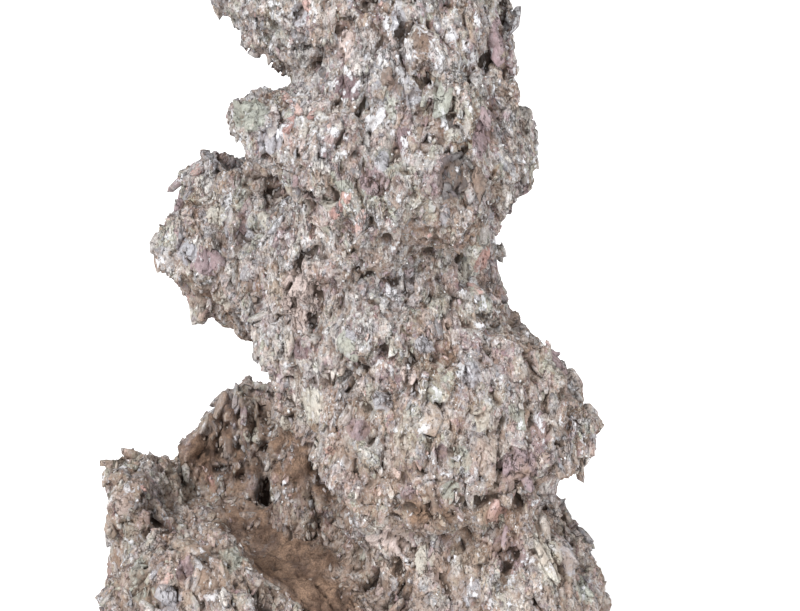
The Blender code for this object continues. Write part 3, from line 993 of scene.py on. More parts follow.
@dataclass
class Skin:
    """The stone's whole outer surface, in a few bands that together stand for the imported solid."""

    voxel: float = 0.00098
    smooth_rounds: int = 3
    warp: float = 0.0030  # how far the flats' borders are bent
    layers: tuple[FlatLayer, ...] = (
        FlatLayer(0.0220, 1.4, 0.0022, 0.0, 0.05, 0.1, 350),
        FlatLayer(0.0115, 1.9, 0.0020, 0.0006, 0.07, 0.35, 300),
        FlatLayer(0.0058, 2.4, 0.0016, 0.0004, 0.08, 0.35, 400),
        FlatLayer(0.0030, 2.4, 0.0010, 0.0, 0.15, 0.3, 450),
    )
    grit_size: float = 0.0024
    grit_depth: float = 0.0005
    groove_size: float = 0.011
    groove_tallness: float = 4.0
    groove_depth: float = 0.0020
    groove_width: float = 0.12
    pit_size: float = 0.0036
    pit_depth: float = 0.006
    pit_rarity: float = 0.46
    inward: float = 0.0002  # the relief lies this much inside the solid's own surface
    overhang: float = 0.0010  # the most that it may reach past the solid's box
    foot_fade: float = 0.003  # height over which the relief comes in above the underside
    even_rounds: int = 14  # blends of the normals that the fragments stand on
    broad_rounds: int = 26  # blends that give the broad form, against which hollows are told
    hollow_depth: float = 0.0015  # depth below the broad form that counts as fully hollow
    bands: tuple[str, ...] = ("foot_skin", "middle_skin", "crown_skin")
    pits: tuple[Pit, ...] = (
        Pit((306, 200), 0.0050, 0.008), Pit((330, 205), 0.003, 0.004), Pit((468, 203), 0.0028, 0.004),
        Pit((246, 162), 0.004, 0.004), Pit((263, 158), 0.003, 0.003), Pit((226, 428), 0.0035, 0.006),
        Pit((160, 522), 0.004, 0.004), Pit((240, 478), 0.004, 0.006), Pit((268, 493), 0.006, 0.009),
        Pit((205, 452), 0.0035, 0.005), Pit((252, 418), 0.0035, 0.006), Pit((262, 446), 0.004, 0.006),
        Pit((215, 439), 0.003, 0.005), Pit((238, 446), 0.003, 0.005),
        Pit((325, 538), 0.003, 0.005), Pit((368, 578), 0.003, 0.005), Pit((392, 522), 0.005, 0.005),
        Pit((185, 290), 0.004, 0.004), Pit((395, 505), 0.004, 0.005), Pit((520, 500), 0.005, 0.005),
        Pit((490, 60), 0.004, 0.002), Pit((222, 470), 0.0035, 0.005), Pit((205, 430), 0.003, 0.005),
    )
    grooves: tuple[Groove, ...] = (
        Groove(((427, 103), (428, 120), (426, 138))),
        Groove(((432, 143), (442, 148), (455, 150), (470, 144)), 0.0022, 0.004),
        Groove(((461, 186), (466, 200), (473, 212)), 0.0020, 0.004),
        Groove(((404, 166), (411, 182), (416, 202)), 0.0024, 0.003),
        Groove(((354, 180), (360, 200), (372, 234))),
        Groove(((366, 238), (375, 252)), 0.0020, 0.003),
        Groove(((338, 246), (348, 258)), 0.0020, 0.003),
        Groove(((356, 279), (372, 278), (396, 283)), 0.0022, 0.004),
        Groove(((403, 290), (420, 292)), 0.0018, 0.003),
        Groove(((440, 279), (458, 293)), 0.0020, 0.003),
        Groove(((262, 40), (275, 50), (300, 49), (318, 50), (317, 66)), 0.0026, 0.005),
        Groove(((256, 143), (270, 165)), 0.0016, 0.003),
        Groove(((270, 172), (284, 176), (298, 190)), 0.0018, 0.003),
        Groove(((463, 8), (465, 25))),
        Groove(((454, 98), (462, 116))),
        Groove(((495, 48), (499, 66))),
        Groove(((497, 172), (507, 182)), 0.0020, 0.003),
        Groove(((214, 408), (219, 424), (217, 444), (226, 470)), 0.0028, 0.0045),
        Groove(((232, 400), (240, 420), (238, 440), (248, 466)), 0.0026, 0.0045),
        Groove(((254, 400), (256, 428), (250, 446), (262, 470)), 0.0030, 0.005),
        Groove(((202, 428), (203, 442), (196, 458)), 0.0026, 0.004),
        Groove(((254, 390), (261, 402), (266, 418)), 0.0062, 0.006),
        Groove(((138, 548), (150, 575), (160, 608)), 0.0026, 0.003),
        Groove(((168, 545), (186, 572), (200, 608)), 0.0026, 0.0035),
        Groove(((198, 552), (216, 574), (236, 608)), 0.0026, 0.0035),
        Groove(((228, 560), (246, 578), (266, 606)), 0.0024, 0.003),
        Groove(((340, 502), (368, 503), (386, 507), (402, 514), (420, 508), (440, 513), (462, 508),
                (482, 503), (502, 498), (518, 490), (545, 492)), 0.0046, 0.0036),
        Groove(((314, 468), (322, 484), (334, 506), (338, 530)), 0.0034, 0.0055),
        Groove(((290, 396), (299, 420), (307, 445), (314, 468)), 0.0034, 0.0055),
        Groove(((320, 520), (332, 545)), 0.0026, 0.005),
        Groove(((368, 563), (368, 582)), 0.0022, 0.005),
        Groove(((440, 578), (451, 602)), 0.0024, 0.004),
        Groove(((483, 344), (497, 360)), 0.0018, 0.003),
        Groove(((489, 374), (498, 402)), 0.0026, 0.004),
        Groove(((524, 352), (536, 368), (546, 382)), 0.0018, 0.003),
        Groove(((544, 394), (546, 412), (550, 450)), 0.0020, 0.003),
        Groove(((376, 428), (370, 442)), 0.0018, 0.003),
        Groove(((552, 530), (556, 556), (566, 576)), 0.0022, 0.003),
        Groove(((384, 440), (381, 470)), 0.0016, 0.003),
        Groove(((428, 430), (424, 470)), 0.0016, 0.003),
        Groove(((503, 420), (501, 455), (497, 486)), 0.0018, 0.003),
        Groove(((466, 440), (462, 480)), 0.0016, 0.003),
        Groove(((318, 292), (320, 312)), 0.0018, 0.003),
    )
    # Brown patches: most are stains on the rock; those below the middle tier's lip, beside the column's left
    # edge and under the upper block are painted shadow.
    stains_and_shade: tuple[StainAndShade, ...] = (
        StainAndShade((470, 535), 0.021, 0.75), StainAndShade((512, 540), 0.013, 0.8), StainAndShade((505, 318), 0.015, 0.4),
        StainAndShade((312, 592), 0.012, 0.95), StainAndShade((302, 566), 0.010, 0.9), StainAndShade((330, 603), 0.010, 0.95),
        StainAndShade((338, 585), 0.010, 0.9), StainAndShade((322, 560), 0.008, 0.8), StainAndShade((350, 604), 0.008, 0.8),
        StainAndShade((190, 470), 0.016, 0.8), StainAndShade((240, 488), 0.012, 0.8), StainAndShade((285, 480), 0.010, 0.5),
        StainAndShade((180, 575), 0.024, 0.42), StainAndShade((130, 592), 0.018, 0.42), StainAndShade((430, 518), 0.012, 0.6),
        StainAndShade((415, 516), 0.007, 0.9), StainAndShade((448, 518), 0.008, 0.9), StainAndShade((480, 514), 0.008, 0.9),
        StainAndShade((518, 504), 0.007, 0.8), StainAndShade((286, 432), 0.010, 0.8), StainAndShade((300, 458), 0.008, 0.7),
        StainAndShade((205, 292), 0.013, 0.5), StainAndShade((320, 285), 0.012, 0.3), StainAndShade((262, 170), 0.009, 0.5),
        StainAndShade((500, 195), 0.008, 0.4), StainAndShade((225, 430), 0.022, 0.6), StainAndShade((140, 505), 0.020, 0.5),
        StainAndShade((455, 178), 0.008, 0.5), StainAndShade((405, 520), 0.010, 0.5), StainAndShade((300, 480), 0.010, 0.3),
        StainAndShade((430, 225), 0.014, 0.35), StainAndShade((375, 270), 0.010, 0.3), StainAndShade((550, 505), 0.010, 0.3),
        StainAndShade((470, 235), 0.010, 0.4), StainAndShade((538, 346), 0.010, 0.3), StainAndShade((440, 290), 0.014, 0.35),
    )
    basin: Basin = field(default_factory=Basin)

    def build(self, solid: bpy.types.Object, view: PhotoView) -> tuple[list[bpy.types.Object], Surface]:
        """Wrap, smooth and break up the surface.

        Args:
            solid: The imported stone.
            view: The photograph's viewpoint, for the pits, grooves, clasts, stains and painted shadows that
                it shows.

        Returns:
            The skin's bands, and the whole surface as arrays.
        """
        mesh = self._wrapped(solid)
        points, edges, quads = self._arrays(mesh)
        low, high = points.min(axis=0), points.max(axis=0)
        points = self._eased(points, edges, low)
        normals = self._moved(mesh, points)
        spots = self._spots(points, quads, view)
        outward = self._relief(points, normals) - self._noted_hollows(points, spots)
        outward *= np.clip((points[:, 2] - low[2]) / self.foot_fade, 0, 1)
        points = np.clip(points + normals * outward[:, None], low - self.overhang, high + self.overhang)
        points[:, 2] = np.maximum(points[:, 2], low[2])
        normals = self._moved(mesh, points)
        hollow, earth = self._weathering(points, normals, edges, spots)
        bpy.data.meshes.remove(mesh)
        triangles = np.concatenate([quads[:, :3], quads[:, (0, 2, 3)]])
        even = unit(averaged(normals, edges, self.even_rounds))
        tree = BVHTree.FromPolygons(points.tolist(), triangles.tolist())
        surface = Surface(points, even, triangles, earth, hollow, tree, Inlay.on(tree, view))
        return self._banded(surface, quads, low), surface

    def _wrapped(self, solid: bpy.types.Object) -> bpy.types.Mesh:
        """A fine, even mesh round the solid, whose loose triangles are merged first."""
        shape = bmesh.new()
        shape.from_mesh(solid.data)
        bmesh.ops.remove_doubles(shape, verts=shape.verts, dist=HAIR)
        merged = bpy.data.meshes.new("merged")
        shape.to_mesh(merged)
        shape.free()
        helper = show("wrapping", merged)
        remesh = helper.modifiers.new("wrap", "REMESH")
        remesh.mode = "VOXEL"
        remesh.voxel_size = self.voxel
        graph = bpy.context.evaluated_depsgraph_get()
        mesh = bpy.data.meshes.new_from_object(helper.evaluated_get(graph))
        bpy.data.objects.remove(helper, do_unlink=True)
        return mesh

    def _arrays(self, mesh: bpy.types.Mesh) -> tuple[Array, Array, Array]:
        """The wrapped mesh's points, edges and four-cornered faces, as arrays."""
        points = np.empty(len(mesh.vertices) * 3)
        mesh.vertices.foreach_get("co", points)
        edges = np.empty(len(mesh.edges) * 2, dtype=np.int32)
        mesh.edges.foreach_get("vertices", edges)
        quads = np.empty(len(mesh.loops), dtype=np.int32)
        mesh.loops.foreach_get("vertex_index", quads)
        return points.reshape(-1, 3), edges.reshape(-1, 2), quads.reshape(-1, 4)

    def _moved(self, mesh: bpy.types.Mesh, points: Array) -> Array:
        """Move the mesh's points, and return its point normals."""
        mesh.vertices.foreach_set("co", points.ravel())
        mesh.update()
        normals = np.empty(len(points) * 3)
        mesh.vertices.foreach_get("normal", normals)
        return normals.reshape(-1, 3)

    def _eased(self, points: Array, edges: Array, low: Array) -> Array:
        """Take the solid's facets out: blend each point with its neighbours, then give back the shrinkage.

        Points of the sawn underside stay level.
        """
        sawn = points[:, 2] < low[2] + 0.5 * self.voxel
        once = averaged(points, edges, self.smooth_rounds)
        twice = averaged(once, edges, self.smooth_rounds)
        eased = once + (once - twice)
        eased[sawn, 2] = low[2]
        return eased

    def _relief(self, points: Array, normals: Array) -> Array:
        """How far each point moves outwards: flats and grit less upright grooves and pits.

        All of it is half as strong on the basin's floor.

        A groove runs where a tall noise n is near 0: depth * (1 - |n| / width)^2.
        """
        bend = np.stack([cloud(points, 0.010, 500 + 10 * axis, 4) for axis in range(3)], axis=1)
        bent = points + bend * self.warp
        relief = sum(layer.relief(bent) for layer in self.layers)
        tall = bent * np.array((1.0, 1.0, 1 / self.groove_tallness))
        groove = np.abs(cloud(tall, self.groove_size, 700, 2)) / self.groove_width
        relief -= np.clip(1 - groove, 0, 1) ** 2 * self.groove_depth
        relief += cloud(points * np.array((1.0, 1.0, 0.55)), self.grit_size, 760, 2) * self.grit_depth
        stretched = points * np.array((1.0, 1.0, 0.75))
        pits = np.clip(cloud(stretched, self.pit_size, 640, 2) - self.pit_rarity, 0, 1) * self.pit_depth
        level = np.clip(normals[:, 2] * 4 - 1.6, 0, 1)
        floor = np.clip((1.22 - self.basin.distance(points)) / 0.2, 0, 1) * level
        return (relief - pits) * (1 - 0.5 * floor) - self.inward

    def _spots(self, points: Array, quads: Array, view: PhotoView) -> dict[tuple[float, float], Array]:
        """Where on the stone the pixels of the pits, the stains and painted shadows, and the grooves lie."""
        tree = BVHTree.FromPolygons(points.tolist(), quads.tolist())
        marks = {mark.pixel for mark in (*self.pits, *self.stains_and_shade)}
        marks |= {pixel for groove in self.grooves for pixel in groove.pixels}
        spots = {pixel: view.meets(tree, pixel)[0] for pixel in sorted(marks)}
        return {pixel: place for pixel, place in spots.items() if place is not None}

    def _noted_hollows(self, points: Array, spots: dict[tuple[float, float], Array]) -> Array:
        """How far each point moves inwards for the pits and grooves that the photograph shows.

        A pit is depth * (1 - (distance / radius)^2)^2 round its spot, and a groove is
        depth * (1 - distance / radius) along the line between its spots. The deepest one counts.
        """
        inward = np.zeros(len(points))
        for pit in self.pits:
            if pit.pixel in spots:
                share = np.linalg.norm(points - spots[pit.pixel], axis=1) / pit.radius
                inward = np.maximum(inward, pit.depth * np.clip(1 - share**2, 0, 1) ** 2)
        for groove in self.grooves:
            stops = [spots[pixel] for pixel in groove.pixels if pixel in spots]
            for start, end in zip(stops, stops[1:]):
                along = end - start
                part = np.clip((points - start) @ along / max(along @ along, 1e-12), 0, 1)
                share = np.linalg.norm(points - start - part[:, None] * along, axis=1) / groove.radius
                inward = np.maximum(inward, groove.depth * np.clip(1 - share, 0, 1))
        return inward

    def _weathering(self, points: Array, normals: Array, edges: Array,
                    spots: dict[tuple[float, float], Array]) -> tuple[Array, Array]:
        """How hollow each point lies, from 0 to 1, and how much earth and painted shade it takes.

        Hollow is the distance to the points' blend with their neighbours, along the normal.
        """
        broad = averaged(points, edges, self.broad_rounds)
        hollow = np.clip(np.sum((broad - points) * normals, axis=1) / self.hollow_depth, 0, 1)
        floor = np.clip((1.25 - self.basin.distance(points)) / 0.25, 0, 1)
        floor *= np.clip(normals[:, 2] * 2.5 - 0.3, 0.25, 1)
        # Faces that look down take more of the mask, so they come out browner and darker.
        under = np.clip(-normals[:, 2] * 1.3 - 0.1, 0, 1)
        patches = np.clip(cloud(points, 0.02, 820) * 1.6 + 0.6, 0, 1)
        earth = floor + 0.5 * under * patches
        # Stains on the rock, and painted shadow below the middle tier's lip, beside the column's left edge
        # and under the upper block.
        for stain_and_shade in self.stains_and_shade:
            if stain_and_shade.pixel in spots:
                share = np.linalg.norm(points - spots[stain_and_shade.pixel], axis=1) / stain_and_shade.radius
                earth += stain_and_shade.strength * np.clip(1 - share**2, 0, 1) * (0.4 + 0.6 * patches)
        return hollow, np.clip(earth, 0, 1)

    def _banded(self, surface: Surface, quads: Array, low: Array) -> list[bpy.types.Object]:
        """Share the skin out into bands of equal numbers of faces, from the foot up.

        Two bands that meet have the same points along their border, so that the skin stays closed.
        The small faces of the sawn underside are left out, and one flat face closes it instead.

        Args:
            surface: The whole skin.
            quads: Its four-cornered faces.
            low: The lowest corner of the stone's box.

        Returns:
            One object for each band.
        """
        points = surface.points
        tints, inlaid = surface.inlay.tints(points)
        height = points[quads, 2]
        quads = quads[height.max(axis=1) > low[2] + HAIR]
        order = np.argsort(points[quads, 2].mean(axis=1), kind="stable")
        material = GroundFinish().material()
        pieces = []
        for name, rows in zip(self.bands, np.array_split(order, len(self.bands))):
            used, numbers = np.unique(quads[rows], return_inverse=True)
            mesh = mesh_from_arrays(name, points[used], numbers.reshape(-1, 4))
            self._close_underside(mesh, low[2] + UNDERSIDE)
            add_attribute(mesh, "hollow", surface.hollow[used])
            add_attribute(mesh, "earth", surface.earth[used])
            add_attribute(mesh, "inlaid", inlaid[used])
            add_colours(mesh, "tint", tints[used])
            mesh.materials.append(material)
            pieces.append(show(name, mesh))
        return pieces

    def _close_underside(self, mesh: bpy.types.Mesh, limit: float) -> None:
        """Fill the openings whose borders lie below the limit with a flat face."""
        shape = bmesh.new()
        shape.from_mesh(mesh)
        rim = [edge for edge in shape.edges
               if edge.is_boundary and max(end.co.z for end in edge.verts) < limit]
        bmesh.ops.holes_fill(shape, edges=rim, sides=0)
        shape.to_mesh(mesh)
        shape.free()


@dataclass
class Bed:
    """Fragments as rows of arrays: where each lies, its half axes, its kind and its tone."""

    middle: Array  # n by 3
    axes: Array  # n by 3 by 3: half axes outwards, sideways and upwards
    kind: Array  # n numbers of FINISHES
    tone: Array  # n numbers from 0 to 1

    def kept(self, mask: Array) -> "Bed":
        """The rows for which the mask is true."""
        return Bed(self.middle[mask], self.axes[mask], self.kind[mask], self.tone[mask])

    def rows(self) -> tuple[Array, Array, Array, Array]:
        """The four arrays."""
        return self.middle, self.axes, self.kind, self.tone

    def with_more(self, other: "Bed") -> "Bed":
        """These fragments, followed by another bed's."""
        return Bed(*(np.concatenate(pair) for pair in zip(self.rows(), other.rows())))


def covered(places: Array, bed: Bed, reach: float = 0.85) -> Array:
    """Whether each place lies within a fragment of the bed, seen along that fragment's outward axis.

    A place is inside where (y / sideways)^2 + (z / upwards)^2 is under the reach and x is near.

    Args:
        places: n by 3.
        bed: The fragments that are already there.
        reach: The share of a fragment's face that counts.

    Returns:
        n truth values.
    """
    found = np.zeros(len(places), dtype=bool)
    size = np.linalg.norm(bed.axes, axis=2)
    ways = bed.axes / size[:, :, None] ** 2
    block = 48
    for start in range(0, len(bed.middle), block):
        rows = slice(start, start + block)
        away = places[None] - bed.middle[rows, None]
        local = np.einsum("bnd,bkd->bnk", away, ways[rows])
        inside = (local[..., 1] ** 2 + local[..., 2] ** 2 < reach) & (np.abs(local[..., 0]) < 2.0)
        found |= inside.any(axis=0)
    return found


@dataclass(frozen=True)
class Grade:
    """One size of fragment: how closely it lies, how large it is and how it is bedded."""

    name: str
    spacing: float
    width: tuple[float, float]
    tallness: tuple[float, float]
    thickness: float  # as a share of the width
    sunk: tuple[float, float]  # how deep the middle lies, as a share of the half thickness
    corners: int  # corners round the fragment
    rings: int  # rings of corners from its back to its face
    seed: int
    lean: float = 0.45  # how far the long axis strays from upright, in radians
    tilt: float = 0.30  # how far the outer face strays from the surface
    lift: float = 0.10  # how far it looks up, so that its lower edge stands out
    quartz: bool = False
    blocks_others: bool = False
    small_bias: float = 1.7  # power that makes the narrow ones more common than the wide ones
    steep: float = 0.85  # an outward axis more upright than this takes any upward direction
    lowest: float = 0.0015  # height under which no fragment is bedded
    thinning: float = 1.1  # how strongly the earth and painted shade mask thins the fragments out

    def lay(self, surface: Surface, there: Bed) -> Bed:
        """Bed fragments of this size on the surface.

        Args:
            surface: The skin.
            there: Larger fragments, whose faces stay free.

        Returns:
            The new fragments.
        """
        rng = np.random.default_rng(self.seed)
        places, normals, earth = surface.scatter(self.spacing, rng)
        count = len(places)
        strayed = normals + rng.normal(0, self.tilt * 0.5, (count, 3))
        outward = unit(strayed + np.array((0.0, 0.0, self.lift)))
        level = np.abs(outward[:, 2]) > self.steep
        rise = np.array((0.0, 0.0, 1.0)) + rng.normal(0, self.lean * 0.6, (count, 3))
        rise[level] = rng.normal(0, 1, (int(level.sum()), 3))
        upward = unit(rise - outward * np.sum(rise * outward, axis=1, keepdims=True))
        sideways = np.cross(upward, outward)
        skew = rng.random(count) ** self.small_bias
        width = self.width[0] + (self.width[1] - self.width[0]) * skew
        tall = width * rng.uniform(*self.tallness, count)
        thick = width * self.thickness
        middle = places - outward * (thick / 2 * rng.uniform(*self.sunk, count))[:, None]
        full = [outward * thick[:, None], sideways * width[:, None], upward * tall[:, None]]
        axes = np.stack(full, axis=1) / 2
        bed = Bed(middle, axes, self._kinds(earth, rng), rng.random(count))
        keep = (places[:, 2] > self.lowest) & (rng.random(count) > earth**3 * self.thinning)
        return bed.kept(keep & ~covered(places, there))

    def _kinds(self, earth: Array, rng: np.random.Generator) -> Array:
        """A kind for each fragment, by how common the kinds are there."""
        if self.quartz:
            return np.full(len(earth), len(FINISHES) - 1)
        plain = np.array([finish.share for finish in FINISHES])
        muddy = np.array([finish.earth_share for finish in FINISHES])
        clean = plain[None] / plain.sum() * (1 - earth[:, None])
        shares = clean + muddy[None] / muddy.sum() * earth[:, None]
        steps = np.cumsum(shares, axis=1)
        picks = rng.random(len(earth))[:, None] * steps[:, -1:]
        return np.minimum((picks > steps).sum(axis=1), len(FINISHES) - 2)


def shards(bed: Bed, corners: int, rings: int, seed: int) -> tuple[Array, Array]:
    """Angular shards: each has an uneven outline, a flat, tilted face and, with three rings, a bevelled rim.

    In a fragment's own axes, outwards, sideways and upwards, corner k of a ring lies at
    (level, r cos a, r sin a), where a = 2 pi (k + stray) / corners. The level of the face and of the
    rim follows the face's tilt: level = start + tilt . (r cos a, r sin a).

    Args:
        bed: The fragments.
        corners: Corners round a ring.
        rings: 2 for a back and a face, or 3 with a rim between them.
        seed: Picks the outlines.

    Returns:
        Points, n by k by 3, and one fragment's triangles.
    """
    rng = np.random.default_rng(seed)
    count = len(bed.middle)
    angle = 2 * np.pi * (np.arange(corners) + rng.uniform(-0.42, 0.42, (count, corners))) / corners
    radius = rng.uniform(0.62, 1.12, (count, corners))
    outline = np.stack([radius * np.cos(angle), radius * np.sin(angle)], axis=-1)
    tilt = rng.uniform(-0.45, 0.45, (count, 1, 2))
    shrink = rng.uniform(0.72, 0.97, (count, corners, 1)) if rings == 3 else np.ones((count, corners, 1))
    levels = [np.full((count, corners), -1.0)]
    spreads = [outline * 0.8]
    for start, spread in ((0.35, outline), (0.75, outline * shrink))[3 - rings:]:
        uneven = rng.uniform(-0.13, 0.13, (count, corners))
        levels.append(start + np.sum(spread * tilt, axis=-1) + uneven)
        spreads.append(spread)
    local = [np.concatenate([level[..., None], spread], axis=-1) for level, spread in zip(levels, spreads)]
    points = bed.middle[:, None] + np.einsum("nkd,nde->nke", np.concatenate(local, axis=1), bed.axes)
    here = np.arange(corners)
    after = (here + 1) % corners
    sides = []
    for ring in range(rings - 1):
        inner, outer = ring * corners, (ring + 1) * corners
        sides.append(np.stack([inner + here, inner + after, outer + after], axis=1))
        sides.append(np.stack([inner + here, outer + after, outer + here], axis=1))
    fan = np.stack([np.zeros(corners - 2, dtype=int), here[1:-1], here[2:]], axis=1)
    sides.append(fan[:, ::-1])
    sides.append(fan + (rings - 1) * corners)
    return points, np.concatenate(sides)


@dataclass(frozen=True)
class NotedFragment:
    """A fragment that stands out in the photograph, by its pixel, with its real size."""

    pixel: tuple[float, float]
    width: float
    tall: float
    rock: Rock
    tone: float
    lean: float = 0.0  # radians that its long axis turns from upright, clockwise
    proud: float = 0.35  # how far it stands out, as a share of its half thickness


NOTED = (
    NotedFragment((287, 98), 0.004, 0.011, Rock.ROSE, 0.35, -0.45, 0.5),
    NotedFragment((296, 108), 0.005, 0.012, Rock.ROSE, 0.7, -0.5, 0.5),
    NotedFragment((290, 122), 0.0045, 0.013, Rock.ROSE, 0.2, -0.15, 0.5),
    NotedFragment((288, 142), 0.004, 0.010, Rock.ROSE, 0.5, 0.0, 0.3),
    NotedFragment((303, 130), 0.004, 0.012, Rock.CREAM, 0.1, -0.1, 0.4),
    NotedFragment((360, 222), 0.0045, 0.015, Rock.ROSE, 0.45, 0.1, 0.5),
    NotedFragment((548, 566), 0.005, 0.021, Rock.CREAM, 0.5, -0.45, 0.4),
    NotedFragment((545, 528), 0.005, 0.014, Rock.CREAM, 0.3, -0.3, 0.5),
    NotedFragment((556, 552), 0.005, 0.012, Rock.OLIVE, 0.8, -0.2, 0.4),
    NotedFragment((478, 184), 0.005, 0.014, Rock.GRIT, 0.5, -0.15, 0.6),
    NotedFragment((455, 137), 0.009, 0.006, Rock.ASH, 0.6, 0.3, 0.6),
    NotedFragment((445, 215), 0.006, 0.014, Rock.SLATE, 0.5, 0.0, 0.3),
    NotedFragment((468, 120), 0.004, 0.014, Rock.ASH, 0.8, 0.1, 0.4),
    NotedFragment((210, 478), 0.003, 0.012, Rock.ROSE, 0.1, -0.4, 0.4),
    NotedFragment((316, 408), 0.006, 0.012, Rock.CREAM, 0.4, 0.2, 0.3),
    NotedFragment((238, 404), 0.004, 0.011, Rock.SLATE, 0.7, -0.2, 0.6),
    NotedFragment((429, 417), 0.012, 0.014, Rock.GRIT, 0.9, 0.1, 1.8),
    NotedFragment((170, 594), 0.010, 0.013, Rock.GRIT, 0.8, -0.3, 1.5),
    NotedFragment((194, 438), 0.004, 0.010, Rock.GRIT, 0.5, 0.2, 1.0),
    NotedFragment((206, 422), 0.005, 0.012, Rock.GRIT, 0.4, -0.2, 1.1),
    NotedFragment((222, 405), 0.005, 0.013, Rock.GRIT, 0.3, 0.1, 1.1),
    NotedFragment((236, 397), 0.004, 0.013, Rock.SLATE, 0.8, -0.1, 1.1),
    NotedFragment((208, 415), 0.005, 0.010, Rock.SLATE, 0.9, -0.3, 0.5),
)


@dataclass
class Fragments:
    """All the fragments bedded in the skin, joined into one piece for each kind of rock."""

    view: PhotoView
    grades: tuple[Grade, ...] = (
        Grade("large", 0.0140, (0.0035, 0.0072), (1.4, 2.8), 0.5, (0.7, 1.05), 6, 3, 71,
              lean=0.3, lift=0.16, blocks_others=True),
        Grade("medium", 0.0060, (0.0018, 0.0042), (1.5, 3.4), 0.6, (0.45, 0.95), 6, 3, 72,
              lean=0.25, lift=0.16),
        Grade("small", 0.0036, (0.0009, 0.0020), (1.3, 3.2), 0.9, (0.15, 0.85), 5, 2, 73,
              lean=0.35, tilt=0.45),
        Grade("glint", 0.0062, (0.0005, 0.0011), (1.0, 1.8), 0.9, (-0.3, 0.5), 4, 2, 74,
              tilt=1.5, quartz=True),
    )
    noted: tuple[NotedFragment, ...] = NOTED
    noted_thickness: float = 0.5
    noted_grid: tuple[int, int] = (7, 3)  # corners and rings
    noted_seed: int = 70
    noted_level: float = 0.65  # how deep the middle of one that isn't proud lies
    outline_step: int = 100  # from the seed of a grade's places to that of its outlines

    def build(self, surface: Surface) -> list[bpy.types.Object]:
        """Bed every grade and join what was made.

        Args:
            surface: The skin.

        Returns:
            One object for each kind of rock.
        """
        first = self._noted_bed(surface)
        made = [(first, *shards(first, *self.noted_grid, self.noted_seed))]
        blockers = first
        for grade in self.grades:
            bed = grade.lay(surface, blockers)
            outlines = grade.seed + self.outline_step
            made.append((bed, *shards(bed, grade.corners, grade.rings, outlines)))
            LOG.info("%s fragments: %d", grade.name, len(bed.middle))
            if grade.blocks_others:
                blockers = blockers.with_more(bed)
        return [self._joined(number, made, surface) for number in range(len(FINISHES))]

    def _noted_bed(self, surface: Surface) -> Bed:
        """The fragments that stand out in the photograph, each where its pixel's ray meets the skin."""
        rows = []
        for noted in self.noted:
            place, number = self.view.meets(surface.tree, noted.pixel)
            if place is None:
                continue
            normal = unit(surface.normals[surface.triangles[number]].mean(axis=0))
            rise = np.array((math.sin(noted.lean), 0.0, math.cos(noted.lean)))
            upward = unit(rise - normal * (rise @ normal))
            sideways = np.cross(upward, normal)
            thick = self.noted_thickness * min(noted.width, noted.tall)
            middle = place - normal * thick / 2 * (self.noted_level - noted.proud)
            axes = np.stack([normal * thick, sideways * noted.width, upward * noted.tall]) / 2
            kind = next(i for i, finish in enumerate(FINISHES) if finish.rock is noted.rock)
            rows.append((middle, axes, kind, noted.tone))
        return Bed(*(np.array(column) for column in zip(*rows)))

    def _joined(self, number: int, made: list[tuple[Bed, Array, Array]],
                surface: Surface) -> bpy.types.Object:
        """One piece of all the fragments of one kind.

        Args:
            number: The kind, as a number of FINISHES.
            made: Each bed with its fragments' points and one fragment's triangles.
            surface: The skin, past whose box no fragment reaches, with the clasts that tint them.

        Returns:
            The piece.
        """
        points, triangles, tones, middles = [], [], [], []
        start = 0
        for bed, corners, sides in made:
            mine = corners[bed.kind == number]
            count, size = mine.shape[:2]
            offsets = start + size * np.arange(count)
            points.append(mine.reshape(-1, 3))
            triangles.append((sides[None] + offsets[:, None, None]).reshape(-1, 3))
            tones.append(np.repeat(bed.tone[bed.kind == number], size))
            middles.append(np.repeat(bed.middle[bed.kind == number], size, axis=0))
            start += count * size
        places = np.concatenate(points)
        places = np.clip(places, surface.points.min(axis=0), surface.points.max(axis=0))
        places[:, 2] = np.maximum(places[:, 2], 0.0)
        finish = FINISHES[number]
        name = f"{finish.rock.value}_fragments"
        mesh = mesh_from_arrays(name, places, np.concatenate(triangles))
        tints, inlaid = surface.inlay.tints(np.concatenate(middles))
        add_attribute(mesh, "tone", np.concatenate(tones))
        add_attribute(mesh, "inlaid", inlaid)
        add_colours(mesh, "tint", tints)
        mesh.materials.append(finish.material())
        return show(name, mesh)


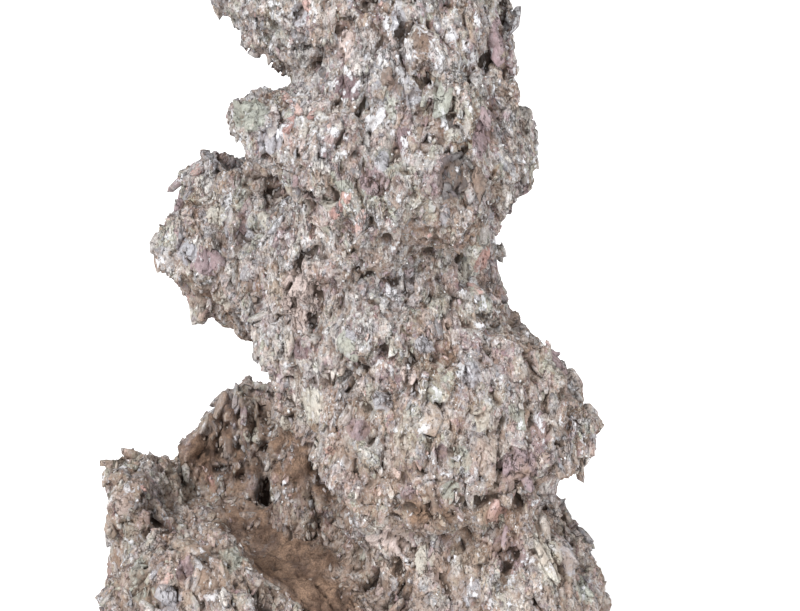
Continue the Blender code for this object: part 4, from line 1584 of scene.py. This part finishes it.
@dataclass(frozen=True)
class Studio:
    """A white floor, an even white surround and two broad soft lights."""

    floor_size: float = 60.0
    floor_colour: Colour = (0.93, 0.93, 0.93)
    floor_roughness: float = 0.9
    white: Colour = (1.0, 1.0, 1.0)
    floor_glow: float = 0.5
    surround: float = 0.60
    key: float = 2.75
    key_turn: tuple[float, float, float] = (math.radians(57), 0.0, math.radians(-34))
    key_spread: float = math.radians(13)
    fill: float = 1.05
    fill_turn: tuple[float, float, float] = (math.radians(70), 0.0, math.radians(38))
    fill_spread: float = math.radians(60)

    def build(self) -> None:
        """Make the floor, the surround and the lights."""
        half = self.floor_size / 2
        corners = np.array([(-half, -half, 0), (half, -half, 0), (half, half, 0), (-half, half, 0)])
        mesh = mesh_from_arrays("floor", corners, np.array([(0, 1, 2), (0, 2, 3)]))
        graph = Graph("studio_floor")
        looks = {"Base Color": self.floor_colour, "Roughness": self.floor_roughness,
                 "Emission Color": self.white, "Emission Strength": self.floor_glow}
        for socket, value in looks.items():
            graph.feed(graph.shader.inputs[socket], value)
        mesh.materials.append(graph.material)
        show("floor", mesh)
        world = bpy.data.worlds.new("surround")
        world.use_nodes = True
        background = world.node_tree.nodes["Background"]
        background.inputs["Color"].default_value = (*self.white, 1.0)
        background.inputs["Strength"].default_value = self.surround
        bpy.context.scene.world = world
        self._sun("key", self.key, self.key_turn, self.key_spread)
        self._sun("fill", self.fill, self.fill_turn, self.fill_spread)
        bpy.context.scene.view_settings.view_transform = "Standard"

    def _sun(self, name: str, strength: float, turn: tuple[float, float, float], spread: float) -> None:
        """One broad light from far away."""
        data = bpy.data.lights.new(name, "SUN")
        data.energy = strength
        data.angle = spread
        lamp = bpy.data.objects.new(name, data)
        lamp.rotation_euler = turn
        bpy.context.scene.collection.objects.link(lamp)


def triangles_of(piece: bpy.types.Object) -> int:
    """How many triangles a piece has."""
    piece.data.calc_loop_triangles()
    return len(piece.data.loop_triangles)


def main() -> None:
    """Build the stone's skin, its fragments and the studio round them."""
    logging.basicConfig(level=logging.INFO, format="%(name)s: %(message)s")
    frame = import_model()
    view = PhotoView()
    view.camera()
    Studio().build()
    skin, surface = Skin().build(frame["nodes"][NODE], view)
    for band in skin:
        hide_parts(NODE)
    pieces = [*skin, *Fragments(view).build(surface)]
    total = 0
    for piece in pieces:
        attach(piece, BODY)
        total += triangles_of(piece)
        LOG.info("%s: %d triangles", piece.name, triangles_of(piece))
    LOG.info("all pieces: %d triangles", total)


if __name__ == "__main__":
    main()
